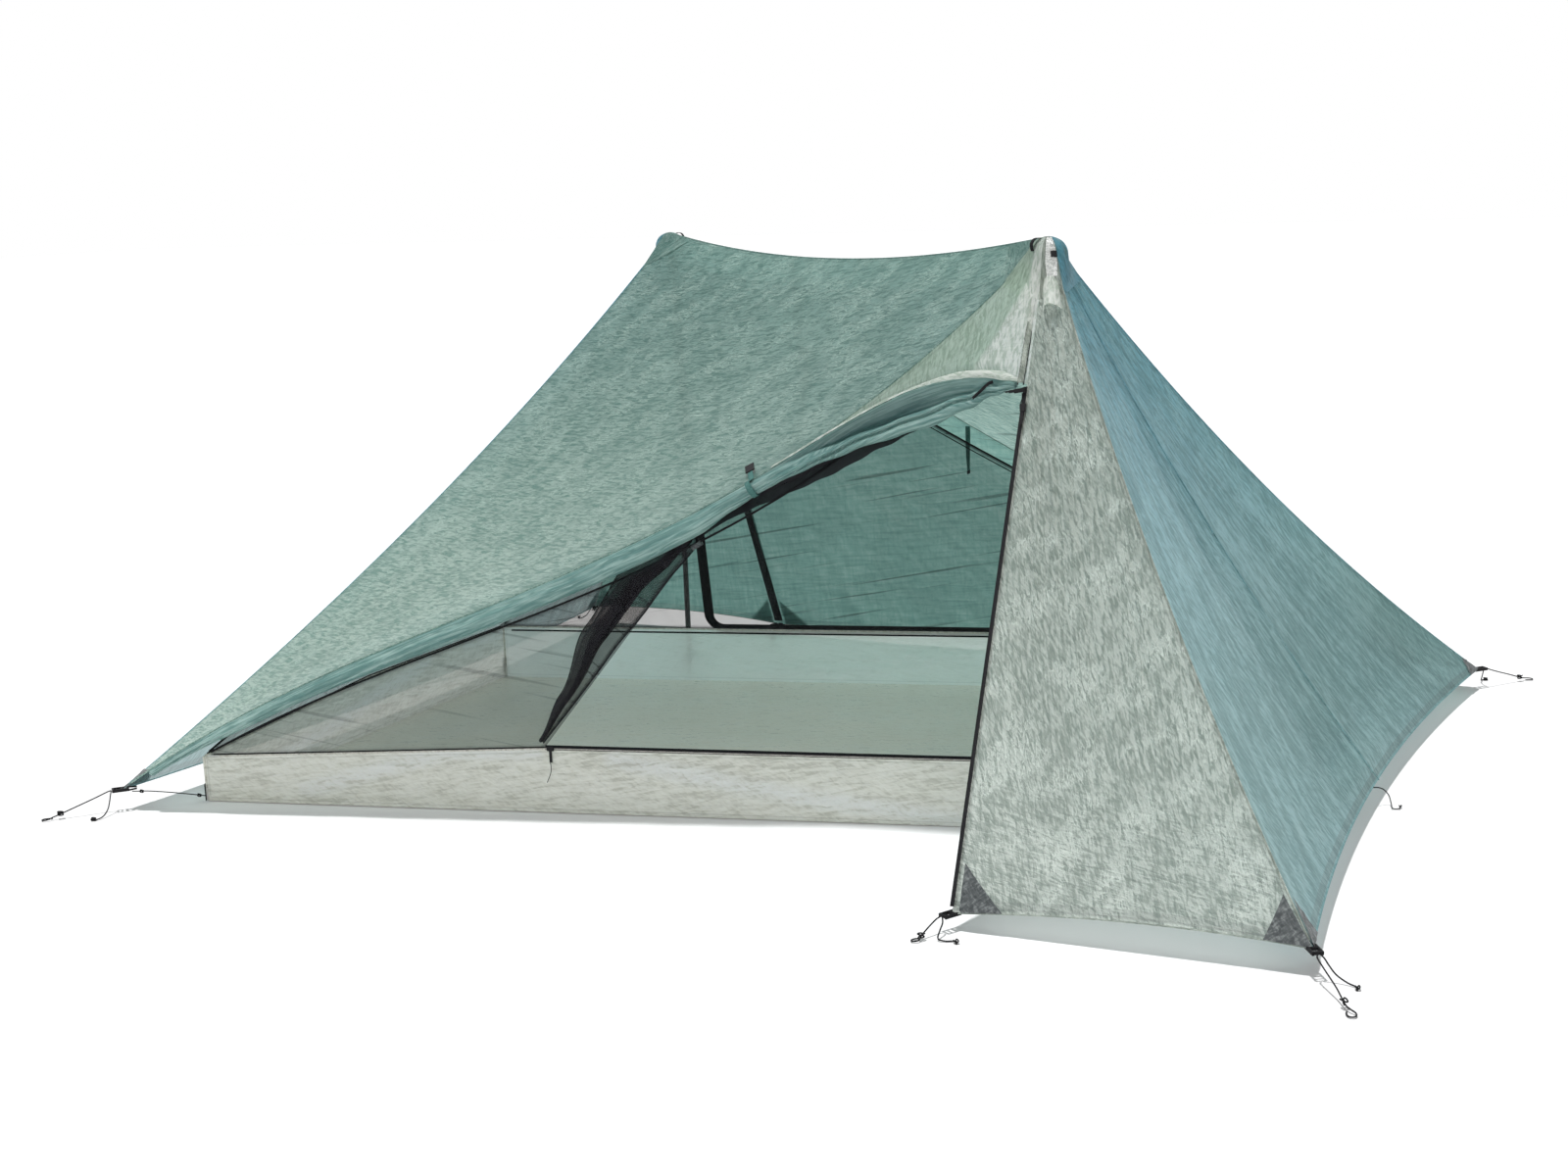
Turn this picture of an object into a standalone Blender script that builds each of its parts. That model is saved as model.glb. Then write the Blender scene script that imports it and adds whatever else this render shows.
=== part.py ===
"""A two-peak trekking pole tent with one side door tied back and one closed.

Metres, +Z up, the ground at Z = 0, the open door towards -Y. The tent looks the same after half a
turn about Z, but for the doors. side 1 is the near half with the open door, side -1 the far half.
"""

import math

import bmesh
import bpy
from mathutils import Matrix, Vector

# Fly
FLY_LENGTH = 2.555
FLY_WIDTH = 1.964
PEAK_HEIGHT = 1.17
PEAK_OFFSET_X = 0.66
PEAK_OFFSET_Y = 0.457
HEM_HEIGHT = 0.047
DOOR_STAKE_Y = 1.0
DOOR_HEM_HEIGHT = 0.03
ZIP_OPEN_SHARE = 0.23
FABRIC_THICKNESS = 0.0008
SEAM_INSET = 0.0006
HINGE_SEAM_INSET = 0.00044
RIDGE_PULL = 0.07
HIP_PULL_HIGH = 0.10
HIP_PULL_LOW = 0.075
DOOR_HIP_PULL = 0.11
OPEN_HIP_PULL_HIGH = 0.323
OPEN_HIP_LIFT_LOW = 0.075
SEAM_PULL = 0.04
END_HEM_PULL = 0.088
DOOR_HEM_PULL = 0.02
GAP = 0.0003

# Inner tent
FLOOR_LENGTH = 2.29
FLOOR_WIDTH = 1.17
FLOOR_SKEW = 0.282
TUB_HEIGHT = 0.14
TUB_LOW_CORNER = 0.102
TUB_RISE_SHARE = 1 / 3
TUB_END_RISE_SHARE = 0.5
TUB_WALL = 0.0015
MESH_THICKNESS = 0.001
MESH_SEAM_INSET = 0.0008
INNER_PEAK_DROP = 0.07
INNER_PEAK_INSET = 0.035
INNER_HIP_PULL = 0.085
INNER_OPEN_HIP_PULL_HIGH = 0.31
INNER_OPEN_HIP_PULL_LOW = 0.0
INNER_APEX_RADIUS = 0.012
DOOR_FOOT_SHARE = TUB_RISE_SHARE
DOOR_CORNER_SHARE = 0.755
DOOR_TIE_SHARE = 0.385

# Peaks and poles
CAP_RADIUS = 0.035
CAP_THICKNESS = 0.0015
CAP_OPENING_ANGLE = math.radians(125)
GRIP_RADIUS = 0.018
GRIP_FOOT_RADIUS = 0.0155
GRIP_LENGTH = 0.145
GRIP_SOCKET_DEPTH = 0.04
POLE_UPPER_RADIUS = 0.009
POLE_LOWER_RADIUS = 0.007
POLE_SPLIT_HEIGHT = 0.5
POLE_OVERLAP = 0.22
POLE_CLEARANCE = 0.0003
COLLAR_RADIUS = 0.0125
COLLAR_HEIGHT = 0.034
LEVER_THICKNESS = 0.004
LEVER_WIDTH = 0.02
LEVER_HEIGHT = 0.018
TIP_RADIUS = 0.0025
TIP_HEIGHT = 0.012
FERRULE_RADIUS = 0.005
FERRULE_HEIGHT = 0.05
BASKET_RADIUS = 0.02
BASKET_HEIGHT = 0.062
BASKET_THICKNESS = 0.004

# Tensioners and cords
LOCK_LENGTH = 0.036
LOCK_WIDTH = 0.02
LOCK_THICKNESS = 0.007
LOCK_BEVEL = 0.002
LOCK_OUTREACH_SHARE = 0.62
GUY_ANGLE_LEFT = math.radians(-132.8)
GUY_ANGLE_RIGHT = math.radians(-57.4)
GUY_ANGLE_DOOR = math.radians(-118.9)
GUY_DIAMETER = 0.0022
FINE_CORD_DIAMETER = 0.002
GUY_SPACING = 0.009
FINE_SPACING = 0.012
FLAP_CORNER_RADIUS = 0.03

# Zips and sliders
ZIP_WIDTH = 0.007
ZIP_THICKNESS = 0.003
ZIP_END_MARGIN = 0.03
INNER_ZIP_RADIUS = 0.0028
INNER_ZIP_BEND = 0.04
INNER_ZIP_TOP_SHARE = 0.07
INNER_ZIP_RISE_STEPS = 12
SLIDER_LENGTH = 0.016
SLIDER_WIDTH = 0.011
SLIDER_THICKNESS = 0.005
SLIDER_BEVEL = 0.0015
INNER_SLIDER_BACK_SHARE = 0.07
PULL_LENGTH = 0.028
PULL_WIDTH = 0.006
PULL_THICKNESS = 0.0016
PULL_BITE = 0.003

# Vent hoods and their struts
VENT_START = 0.07
VENT_LENGTH = 0.075
VENT_HALF_WIDTH = 0.016
VENT_RISE_TOP = 0.006
VENT_RISE_FOOT = 0.024
VENT_CLEARANCE = 0.0005
VENT_ACROSS_SHARE = 0.5
VENT_TOP_WIDTH_SHARE = 0.55
STRUT_SIZE = 0.003
STRUT_BEVEL = 0.0006
STRUT_LENGTH = 0.014
STRUT_SHARE = 0.8

# Tied-back door and its ribbon
ROLL_RADIUS = 0.021
ROLL_CLEARANCE = 0.0014
ROLL_START_SHARE = 0.012
ROLL_END_SHARE = 0.965
TIE_SHARE = 0.29
REAR_TIE_SHARE = 0.375
HEADER_END_SHARE = 0.245
LIP_POWER = 3
RIBBON_WIDTH = 0.012
RIBBON_THICKNESS = 0.0012
RIBBON_CLEARANCE = 0.0018
RIBBON_LAP = 0.026
RIBBON_ANGLES = [math.radians(angle) for angle in (62, 35, 0, -35, -70, -110, -145, -175)]
TAB_LENGTH = 0.026
TAB_WIDTH = 0.02
TAB_THICKNESS = 0.003
TAB_BEVEL = 0.0008
TAB_CLEARANCE = 0.004
REAR_TIE_LENGTH = 0.12
BUNCH_RADIUS = 0.011
BUNCH_ROOM = 0.05
BUNCH_CLEARANCE = 0.0014
BUNCH_TIE_SHARE = 0.5
BUNCH_REACH_SHARE = 0.8

# Roll: share along the hip, half height and half depth as shares of the radius, fold depth share
ROLL_PROFILE_SHARES = (
    (0.0, 0.45, 0.35, 0.10),
    (0.07, 1.55, 0.70, 0.20),
    (0.13, 1.70, 0.85, 0.22),
    (0.21, 1.30, 0.90, 0.18),
    (0.29, 0.95, 0.90, 0.08),
    (0.45, 1.05, 1.00, 0.05),
    (0.65, 0.95, 0.95, 0.05),
    (0.85, 0.70, 0.70, 0.06),
    (1.0, 0.35, 0.35, 0.06),
)
# Bunched mesh door: share along its path, half height, half depth, fold depth share
BUNCH_PROFILE_SHARES = (
    (0.0, 0.30, 0.30, 0.10),
    (0.12, 1.50, 0.80, 0.25),
    (0.25, 2.00, 0.90, 0.28),
    (0.40, 1.40, 0.80, 0.25),
    (0.50, 0.80, 0.80, 0.10),
    (0.62, 2.50, 0.80, 0.20),
    (0.80, 1.60, 0.70, 0.20),
    (1.0, 0.30, 0.40, 0.10),
)
ROLL_FOLDS = 7
BUNCH_FOLDS = 6
FOLD_TWIST = 2.4
# Ribbon over the roof: share of its lap up the roof, and how far it stands off as a share
RIBBON_LAP_SHARES = ((1, 1.4), (0.5, 1.2), (0, 1))
# Hanging ribbon: share of its length down, and sideways
REAR_TIE_SHARES = ((0, 0), (0.25, 0.02), (0.5, -0.03), (0.75, 0.01), (1, 0.05))

UP = Vector((0, 0, 1))
ROUND_SIDES = 14
CUTTER_SIDES = 20
QUARTER_TURN = math.pi / 2
TANGENT_STEP_SHARE = 0.004
LEAN_LIMIT_SHARE = 0.2


def point_at(x, y, z):
    return Vector((x, y, z))


def turned(point, side):
    """The point on this half of the tent: half a turn about Z for the far half."""
    return Vector((side * point.x, side * point.y, point.z))


def turned_curve(curve, side):
    return lambda share: turned(curve(share), side)


def straight(start, end):
    return lambda share: start.lerp(end, share)


def bowed(start, end, pull_start, pull_end):
    """A seam from start to end, drawn off its chord by a vector near each end."""
    def at(share):
        rest = 1 - share
        bow = share * rest * rest * pull_start + share * share * rest * pull_end
        return start.lerp(end, share) + 3 * bow
    return at


def stretch(curve, first, last):
    return lambda share: curve(first + (last - first) * share)


def ruled(side_a, side_b, base):
    """The surface between two seams that leave one corner, closed by a base edge."""
    def point(across, down):
        hem = base(across) - base(0).lerp(base(1), across)
        return side_a(down).lerp(side_b(down), across) + down * hem
    return point


def profile_value(rows, share, column):
    """A smooth value between the rows of a table of shares."""
    for low, high in zip(rows, rows[1:]):
        if share <= high[0]:
            step = (share - low[0]) / (high[0] - low[0])
            ease = step * step * (3 - 2 * step)
            return low[column] + (high[column] - low[column]) * ease
    return rows[-1][column]


# Named points of the near half
PEAK = point_at(PEAK_OFFSET_X, -PEAK_OFFSET_Y, PEAK_HEIGHT)
FAR_PEAK = turned(PEAK, -1)
FRONT_LEFT = point_at(-FLY_LENGTH / 2, -FLY_WIDTH / 2, HEM_HEIGHT)
FRONT_RIGHT = point_at(FLY_LENGTH / 2, -FLY_WIDTH / 2, HEM_HEIGHT)
REAR_RIGHT = turned(FRONT_LEFT, -1)
DOOR_FOOT = point_at(PEAK_OFFSET_X, -DOOR_STAKE_Y, DOOR_HEM_HEIGHT)
ZIP_OPEN = PEAK.lerp(DOOR_FOOT, ZIP_OPEN_SHARE)
DOWN = -UP

FLOOR_LEFT = point_at(-FLOOR_LENGTH / 2, -FLOOR_WIDTH / 2 - FLOOR_SKEW, 0)
FLOOR_RIGHT = point_at(FLOOR_LENGTH / 2, -FLOOR_WIDTH / 2 + FLOOR_SKEW, 0)
FLOOR_ALONG = (FLOOR_RIGHT - FLOOR_LEFT).normalized()
FLOOR_INWARD = UP.cross(FLOOR_ALONG)
NET_LIFT = UP * (GAP + MESH_THICKNESS / 2)


def rim_height(share, rise_share):
    """Height of the bathtub's upper edge, which dips to the two corners under the long hips."""
    return TUB_LOW_CORNER + (TUB_HEIGHT - TUB_LOW_CORNER) * min(1, share / rise_share)


def side_rim(share):
    """Upper edge of the near long wall, from its low corner."""
    return FLOOR_LEFT.lerp(FLOOR_RIGHT, share) + UP * rim_height(share, TUB_RISE_SHARE)


def end_rim(share):
    """Upper edge of the right end wall, from the near long wall to the far low corner."""
    foot = FLOOR_RIGHT.lerp(turned(FLOOR_LEFT, -1), share)
    return foot + UP * rim_height(1 - share, TUB_END_RISE_SHARE)


TUB_LEFT = side_rim(0) + NET_LIFT
TUB_RIGHT = side_rim(1) + NET_LIFT
INNER_PEAK = PEAK + FLOOR_INWARD * INNER_PEAK_INSET + DOWN * INNER_PEAK_DROP
INNER_FAR_PEAK = turned(INNER_PEAK, -1)

# Fly seams of the near half, each from its upper end
ridge = bowed(PEAK, FAR_PEAK, DOWN * RIDGE_PULL, DOWN * RIDGE_PULL)
open_hip = bowed(PEAK, FRONT_LEFT, DOWN * OPEN_HIP_PULL_HIGH, UP * OPEN_HIP_LIFT_LOW)
closed_hip = bowed(PEAK, FRONT_LEFT, DOWN * DOOR_HIP_PULL, DOWN * DOOR_HIP_PULL)
end_hip = bowed(PEAK, REAR_RIGHT, DOWN * HIP_PULL_HIGH, DOWN * HIP_PULL_LOW)
door_seam = bowed(PEAK, FRONT_RIGHT, point_at(-SEAM_PULL, 0, 0), point_at(-SEAM_PULL, 0, 0))
end_hem = bowed(FRONT_RIGHT, REAR_RIGHT, point_at(-END_HEM_PULL, 0, 0), point_at(-END_HEM_PULL, 0, 0))
zip_line = straight(PEAK, DOOR_FOOT)
short_hem = bowed(DOOR_FOOT, FRONT_RIGHT, UP * DOOR_HEM_PULL, UP * DOOR_HEM_PULL)
long_hem = bowed(DOOR_FOOT, FRONT_LEFT, point_at(0, DOOR_HEM_PULL, 0), UP * DOOR_HEM_PULL)

# Inner seams of the near half
inner_ridge = bowed(INNER_PEAK, INNER_FAR_PEAK, DOWN * RIDGE_PULL, DOWN * RIDGE_PULL)
inner_open_hip = bowed(INNER_PEAK, TUB_LEFT, DOWN * INNER_OPEN_HIP_PULL_HIGH,
                       DOWN * INNER_OPEN_HIP_PULL_LOW)
inner_closed_hip = bowed(INNER_PEAK, TUB_LEFT, DOWN * INNER_HIP_PULL, DOWN * INNER_HIP_PULL)
inner_end_hip = bowed(INNER_PEAK, turned(TUB_LEFT, -1), DOWN * INNER_HIP_PULL, DOWN * INNER_HIP_PULL)
inner_end_seam = straight(INNER_PEAK, TUB_RIGHT)


def tub_rim(share):
    return side_rim(share) + NET_LIFT


def tub_end_rim(share):
    return end_rim(share) + NET_LIFT


door_hinge_foot = tub_rim(DOOR_FOOT_SHARE)
door_corner = tub_rim(DOOR_CORNER_SHARE)
door_tie = inner_open_hip(DOOR_TIE_SHARE)


def closed_door_face(across, down):
    """The closed door between its zip and its short seam, by the share down from the peak."""
    return ruled(zip_line, door_seam, short_hem)(across, down)


def open_door_face(across, down):
    """The same place on the fixed top of the open door."""
    face = ruled(stretch(door_seam, 1, 0), straight(FRONT_RIGHT, ZIP_OPEN), straight(PEAK, ZIP_OPEN))
    return face((1 - across) * down / ZIP_OPEN_SHARE, 1 - across * down)


def lifted(face, across, down, lift):
    """A place on a face, moved off it by a distance towards the outside."""
    along = face(across + TANGENT_STEP_SHARE, down) - face(across - TANGENT_STEP_SHARE, down)
    rise = face(across, down - TANGENT_STEP_SHARE) - face(across, down)
    return face(across, down) + along.cross(rise).normalized() * lift


# The inner doors' zips: half, name, the face each lies on, its first and last share across that
# face, and how far it stands off
INNER_ZIPS = (
    (1, "inner_zip_front", ruled(straight(INNER_PEAK, door_hinge_foot), straight(INNER_PEAK, door_corner),
                                 straight(door_hinge_foot, door_corner)), (0, 1), 0),
    (-1, "inner_zip_rear", ruled(inner_closed_hip, inner_end_seam, tub_rim),
     (DOOR_FOOT_SHARE, DOOR_CORNER_SHARE), MESH_THICKNESS / 2 + GAP + INNER_ZIP_RADIUS),
)


def lip_curve(share):
    """Lower edge of the header: from the open end of the zip it rises into the hip."""
    fade = max(0, 1 - share / TIE_SHARE) ** LIP_POWER
    return open_hip(share) + (ZIP_OPEN - PEAK) * fade


part = bpy.data.collections.new("trekking_pole_tent")
cutters = bpy.data.collections.new("cutters")


def clear_scene():
    for obj in list(bpy.data.objects):
        bpy.data.objects.remove(obj, do_unlink=True)
    bpy.context.scene.collection.children.link(part)
    bpy.context.scene.collection.children.link(cutters)


def make_material(name, colour, roughness, metallic=0.0, alpha=1.0):
    material = bpy.data.materials.new(name)
    material.use_nodes = True
    shader = material.node_tree.nodes["Principled BSDF"]
    shader.inputs["Base Color"].default_value = (*colour, 1)
    shader.inputs["Roughness"].default_value = roughness
    shader.inputs["Metallic"].default_value = metallic
    shader.inputs["Alpha"].default_value = alpha
    material.diffuse_color = (*colour, alpha)
    return material


def make_materials():
    return {
        "roof": make_material("roof_fabric", (0.30, 0.47, 0.42), 0.45),
        "end": make_material("end_fabric", (0.25, 0.43, 0.45), 0.45),
        "door": make_material("door_fabric", (0.47, 0.53, 0.46), 0.45),
        "floor": make_material("floor_fabric", (0.62, 0.64, 0.60), 0.4),
        "mesh": make_material("mesh", (0.05, 0.05, 0.055), 0.8, alpha=0.6),
        "vent": make_material("vent_film", (0.75, 0.78, 0.75), 0.3),
        "black": make_material("black_plastic", (0.02, 0.02, 0.022), 0.5),
        "cord": make_material("black_cord", (0.03, 0.03, 0.03), 0.75),
        "ribbon": make_material("ribbon", (0.12, 0.32, 0.31), 0.7),
        "grip": make_material("cork_grip", (0.33, 0.22, 0.13), 0.8),
        "shaft": make_material("dark_shaft", (0.07, 0.07, 0.08), 0.35, 0.6),
        "tip": make_material("pole_tip", (0.06, 0.06, 0.06), 0.5, 0.2),
    }


def add_object(name, mesh, material, collection=part):
    obj = bpy.data.objects.new(name, mesh)
    collection.objects.link(obj)
    if material:
        mesh.materials.append(material)
    return obj


def add_cutter(name, mesh):
    obj = add_object(name, mesh, None, cutters)
    obj.hide_render = True
    obj.display_type = "WIRE"
    return obj


def mesh_from(build, name):
    work = bmesh.new()
    build(work)
    mesh = bpy.data.meshes.new(name)
    work.to_mesh(mesh)
    work.free()
    return mesh


def solidify(obj, thickness):
    shell = obj.modifiers.new("thickness", "SOLIDIFY")
    shell.thickness = thickness
    shell.offset = 0
    shell.use_even_offset = True


def cut(obj, *tools):
    for tool in tools:
        bite = obj.modifiers.new("cut", "BOOLEAN")
        bite.operation = "DIFFERENCE"
        bite.object = tool


def unite(obj, tool):
    weld = obj.modifiers.new("join", "BOOLEAN")
    weld.operation = "UNION"
    weld.object = tool


def panel(name, side_a, side_b, base, material, rows, columns, first_share, thickness,
          inset_a, inset_b, inset_base, tools=()):
    """A sewn panel of cloth, its edges drawn back a little from its seams."""
    point = ruled(side_a, side_b, base)

    def row_inset(inset, side, share, across):
        step = first_share / 2
        along = side(min(share + step, 1)) - side(share - step)
        lean = max(across.cross(along.normalized()).length, LEAN_LIMIT_SHARE)
        return inset / lean

    def build(work):
        reach = (base(0.5) - side_a(0)).length
        last_share = 1 - inset_base / reach
        grid = []
        for row in range(rows + 1):
            share = first_share + (last_share - first_share) * row / rows
            across = side_b(share) - side_a(share)
            width = across.length
            across.normalize()
            low = row_inset(inset_a, side_a, share, across) / width
            high = 1 - row_inset(inset_b, side_b, share, across) / width
            steps = [low + (high - low) * column / columns for column in range(columns + 1)]
            grid.append([work.verts.new(point(step, share)) for step in steps])
        for above, below in zip(grid, grid[1:]):
            for column in range(columns):
                work.faces.new((above[column], above[column + 1], below[column + 1], below[column]))

    obj = add_object(name, mesh_from(build, name), material)
    solidify(obj, thickness)
    cut(obj, *tools)
    return obj


def loft(name, sections, material):
    """A closed body through rings of points, with a flat cap at each end."""
    def build(work):
        rings = [[work.verts.new(point) for point in section] for section in sections]
        count = len(rings[0])
        for ring, after in zip(rings, rings[1:]):
            for place in range(count):
                follow = (place + 1) % count
                work.faces.new((ring[place], ring[follow], after[follow], after[place]))
        work.faces.new(list(reversed(rings[0])))
        work.faces.new(rings[-1])
        bmesh.ops.recalc_face_normals(work, faces=work.faces)

    return add_object(name, mesh_from(build, name), material)


def section_frame(path, share):
    """The path's direction, with the side and up directions square to it."""
    before = path(max(share - TANGENT_STEP_SHARE, 0))
    after = path(min(share + TANGENT_STEP_SHARE, 1))
    along = after - before
    along.normalize()
    up = (UP - along * along.dot(UP)).normalized()
    return along, along.cross(up), up


def folded_sweep(name, path, top_held, radius, rows, folds, stations, sides, material):
    """Gathered cloth along a path: its top line is on the path, or its middle is."""
    sections = []
    for station in range(stations + 1):
        share = station / stations
        _, across, up = section_frame(path, share)
        high = radius * profile_value(rows, share, 1)
        deep = radius * profile_value(rows, share, 2)
        fold = profile_value(rows, share, 3)
        centre = path(share) - up * (high * (1 + fold) if top_held else 0)
        ring = []
        for place in range(sides):
            angle = math.tau * place / sides
            swell = 1 + fold * math.cos(folds * angle + FOLD_TWIST * math.sin(math.pi * share))
            ring.append(centre + across * deep * swell * math.cos(angle)
                        + up * high * swell * math.sin(angle))
        sections.append(ring)
    return loft(name, sections, material)


def strip(name, path_points, across, width, thickness, material):
    """A flat ribbon through points, its width along one direction."""
    sections = []
    for place, point in enumerate(path_points):
        before = path_points[max(place - 1, 0)]
        after = path_points[min(place + 1, len(path_points) - 1)]
        along = (after - before).normalized()
        face = along.cross(across).normalized()
        sections.append([point + across * width / 2 * a + face * thickness / 2 * b
                         for a, b in ((1, 1), (-1, 1), (-1, -1), (1, -1))])
    return loft(name, sections, material)


def frame_matrix(origin, along, up):
    """X along, Z near up, Y across."""
    along = along.normalized()
    across = up.cross(along).normalized()
    top = along.cross(across)
    matrix = Matrix((along, across, top)).transposed().to_4x4()
    matrix.translation = origin
    return matrix


def box_mesh(name, size, centre=Vector((0, 0, 0))):
    def build(work):
        matrix = Matrix.Translation(centre) @ Matrix.Diagonal((*size, 1))
        bmesh.ops.create_cube(work, size=1, matrix=matrix)
    return mesh_from(build, name)


def bevel(obj, width, segments=1):
    edge = obj.modifiers.new("edges", "BEVEL")
    edge.width = width
    edge.segments = segments


def turned_body(name, profile, location, material):
    """A profile of radius and height, top to bottom, turned about Z."""
    def build(work):
        points = [work.verts.new((radius, 0, height)) for radius, height in profile]
        for above, below in zip(points, points[1:]):
            work.edges.new((above, below))

    obj = add_object(name, mesh_from(build, name), material)
    turn = obj.modifiers.new("turn", "SCREW")
    turn.angle = math.tau
    turn.steps = ROUND_SIDES
    turn.render_steps = ROUND_SIDES
    turn.use_merge_vertices = True
    turn.merge_threshold = 0.0001
    obj.location = location
    return obj


def smooth_route(points, spacing):
    """Even points along a smooth curve through the route's own points."""
    ends = [2 * points[0] - points[1]] + list(points) + [2 * points[-1] - points[-2]]
    fine = []
    for a, b, c, d in zip(ends, ends[1:], ends[2:], ends[3:]):
        for step in range(24):
            t = step / 24
            fine.append(0.5 * ((2 * b) + (c - a) * t + (2 * a - 5 * b + 4 * c - d) * t * t
                               + (3 * b - a - 3 * c + d) * t * t * t))
    fine.append(points[-1])
    lengths = [0]
    for before, after in zip(fine, fine[1:]):
        lengths.append(lengths[-1] + (after - before).length)
    count = max(2, round(lengths[-1] / spacing))
    even, place = [], 0
    for step in range(count + 1):
        target = lengths[-1] * step / count
        while place < len(fine) - 2 and lengths[place + 1] < target:
            place += 1
        span = lengths[place + 1] - lengths[place]
        even.append(fine[place].lerp(fine[place + 1], (target - lengths[place]) / span))
    return even


def tube(name, route, diameter, material):
    curve = bpy.data.curves.new(name, "CURVE")
    curve.dimensions = "3D"
    curve.bevel_depth = diameter / 2
    curve.bevel_resolution = 2
    curve.use_fill_caps = True
    spline = curve.splines.new("POLY")
    spline.points.add(len(route) - 1)
    for knot, point in zip(spline.points, route):
        knot.co = (*point, 1)
    curve.materials.append(material)
    obj = bpy.data.objects.new(name, curve)
    part.objects.link(obj)
    return obj


def cord(name, points, diameter, spacing, material):
    return tube(name, smooth_route(points, spacing), diameter, material)


def sphere_cutter(name, centre, radius):
    """A faceted ball that nowhere dips inside the radius."""
    reach = radius / math.cos(math.pi / CUTTER_SIDES) / math.cos(math.pi / CUTTER_SIDES)

    def build(work):
        bmesh.ops.create_uvsphere(work, u_segments=CUTTER_SIDES, v_segments=CUTTER_SIDES // 2 + 4,
                                  radius=reach, matrix=Matrix.Translation(centre))
    return add_cutter(name, mesh_from(build, name))


# Where each tensioner sits: its corner, the heading of its line on the ground, and its half
CORNERS = {
    "front_left": (FRONT_LEFT, GUY_ANGLE_LEFT, 1),
    "front_right": (FRONT_RIGHT, GUY_ANGLE_RIGHT, 1),
    "rear_right": (FRONT_LEFT, GUY_ANGLE_LEFT, -1),
    "rear_left": (FRONT_RIGHT, GUY_ANGLE_RIGHT, -1),
    "door_front": (DOOR_FOOT, GUY_ANGLE_DOOR, 1),
    "door_rear": (DOOR_FOOT, GUY_ANGLE_DOOR, -1),
}


def lock_frame(corner, angle, side):
    outward = point_at(math.cos(angle), math.sin(angle), 0)
    return frame_matrix(turned(corner, side), turned(outward, side), UP)


def make_tensioners(black):
    """Line-lock buckles at the four corners and the two door feet, and the cutters round them."""
    tools = {}
    lead = LOCK_LENGTH * (LOCK_OUTREACH_SHARE - 0.5)
    for name, place in CORNERS.items():
        matrix = lock_frame(*place)
        size = Vector((LOCK_LENGTH, LOCK_WIDTH, LOCK_THICKNESS))
        lock = add_object("tensioner_" + name,
                          box_mesh("tensioner_" + name, size, Vector((lead, 0, 0))), black)
        lock.matrix_world = matrix
        bevel(lock, LOCK_BEVEL)
        room = size + Vector((2 * GAP, 2 * GAP, 2 * GAP))
        tool = add_cutter("room_" + name, box_mesh("room_" + name, room, Vector((lead, 0, 0))))
        tool.matrix_world = matrix
        tools[name] = tool
    return tools


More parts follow.
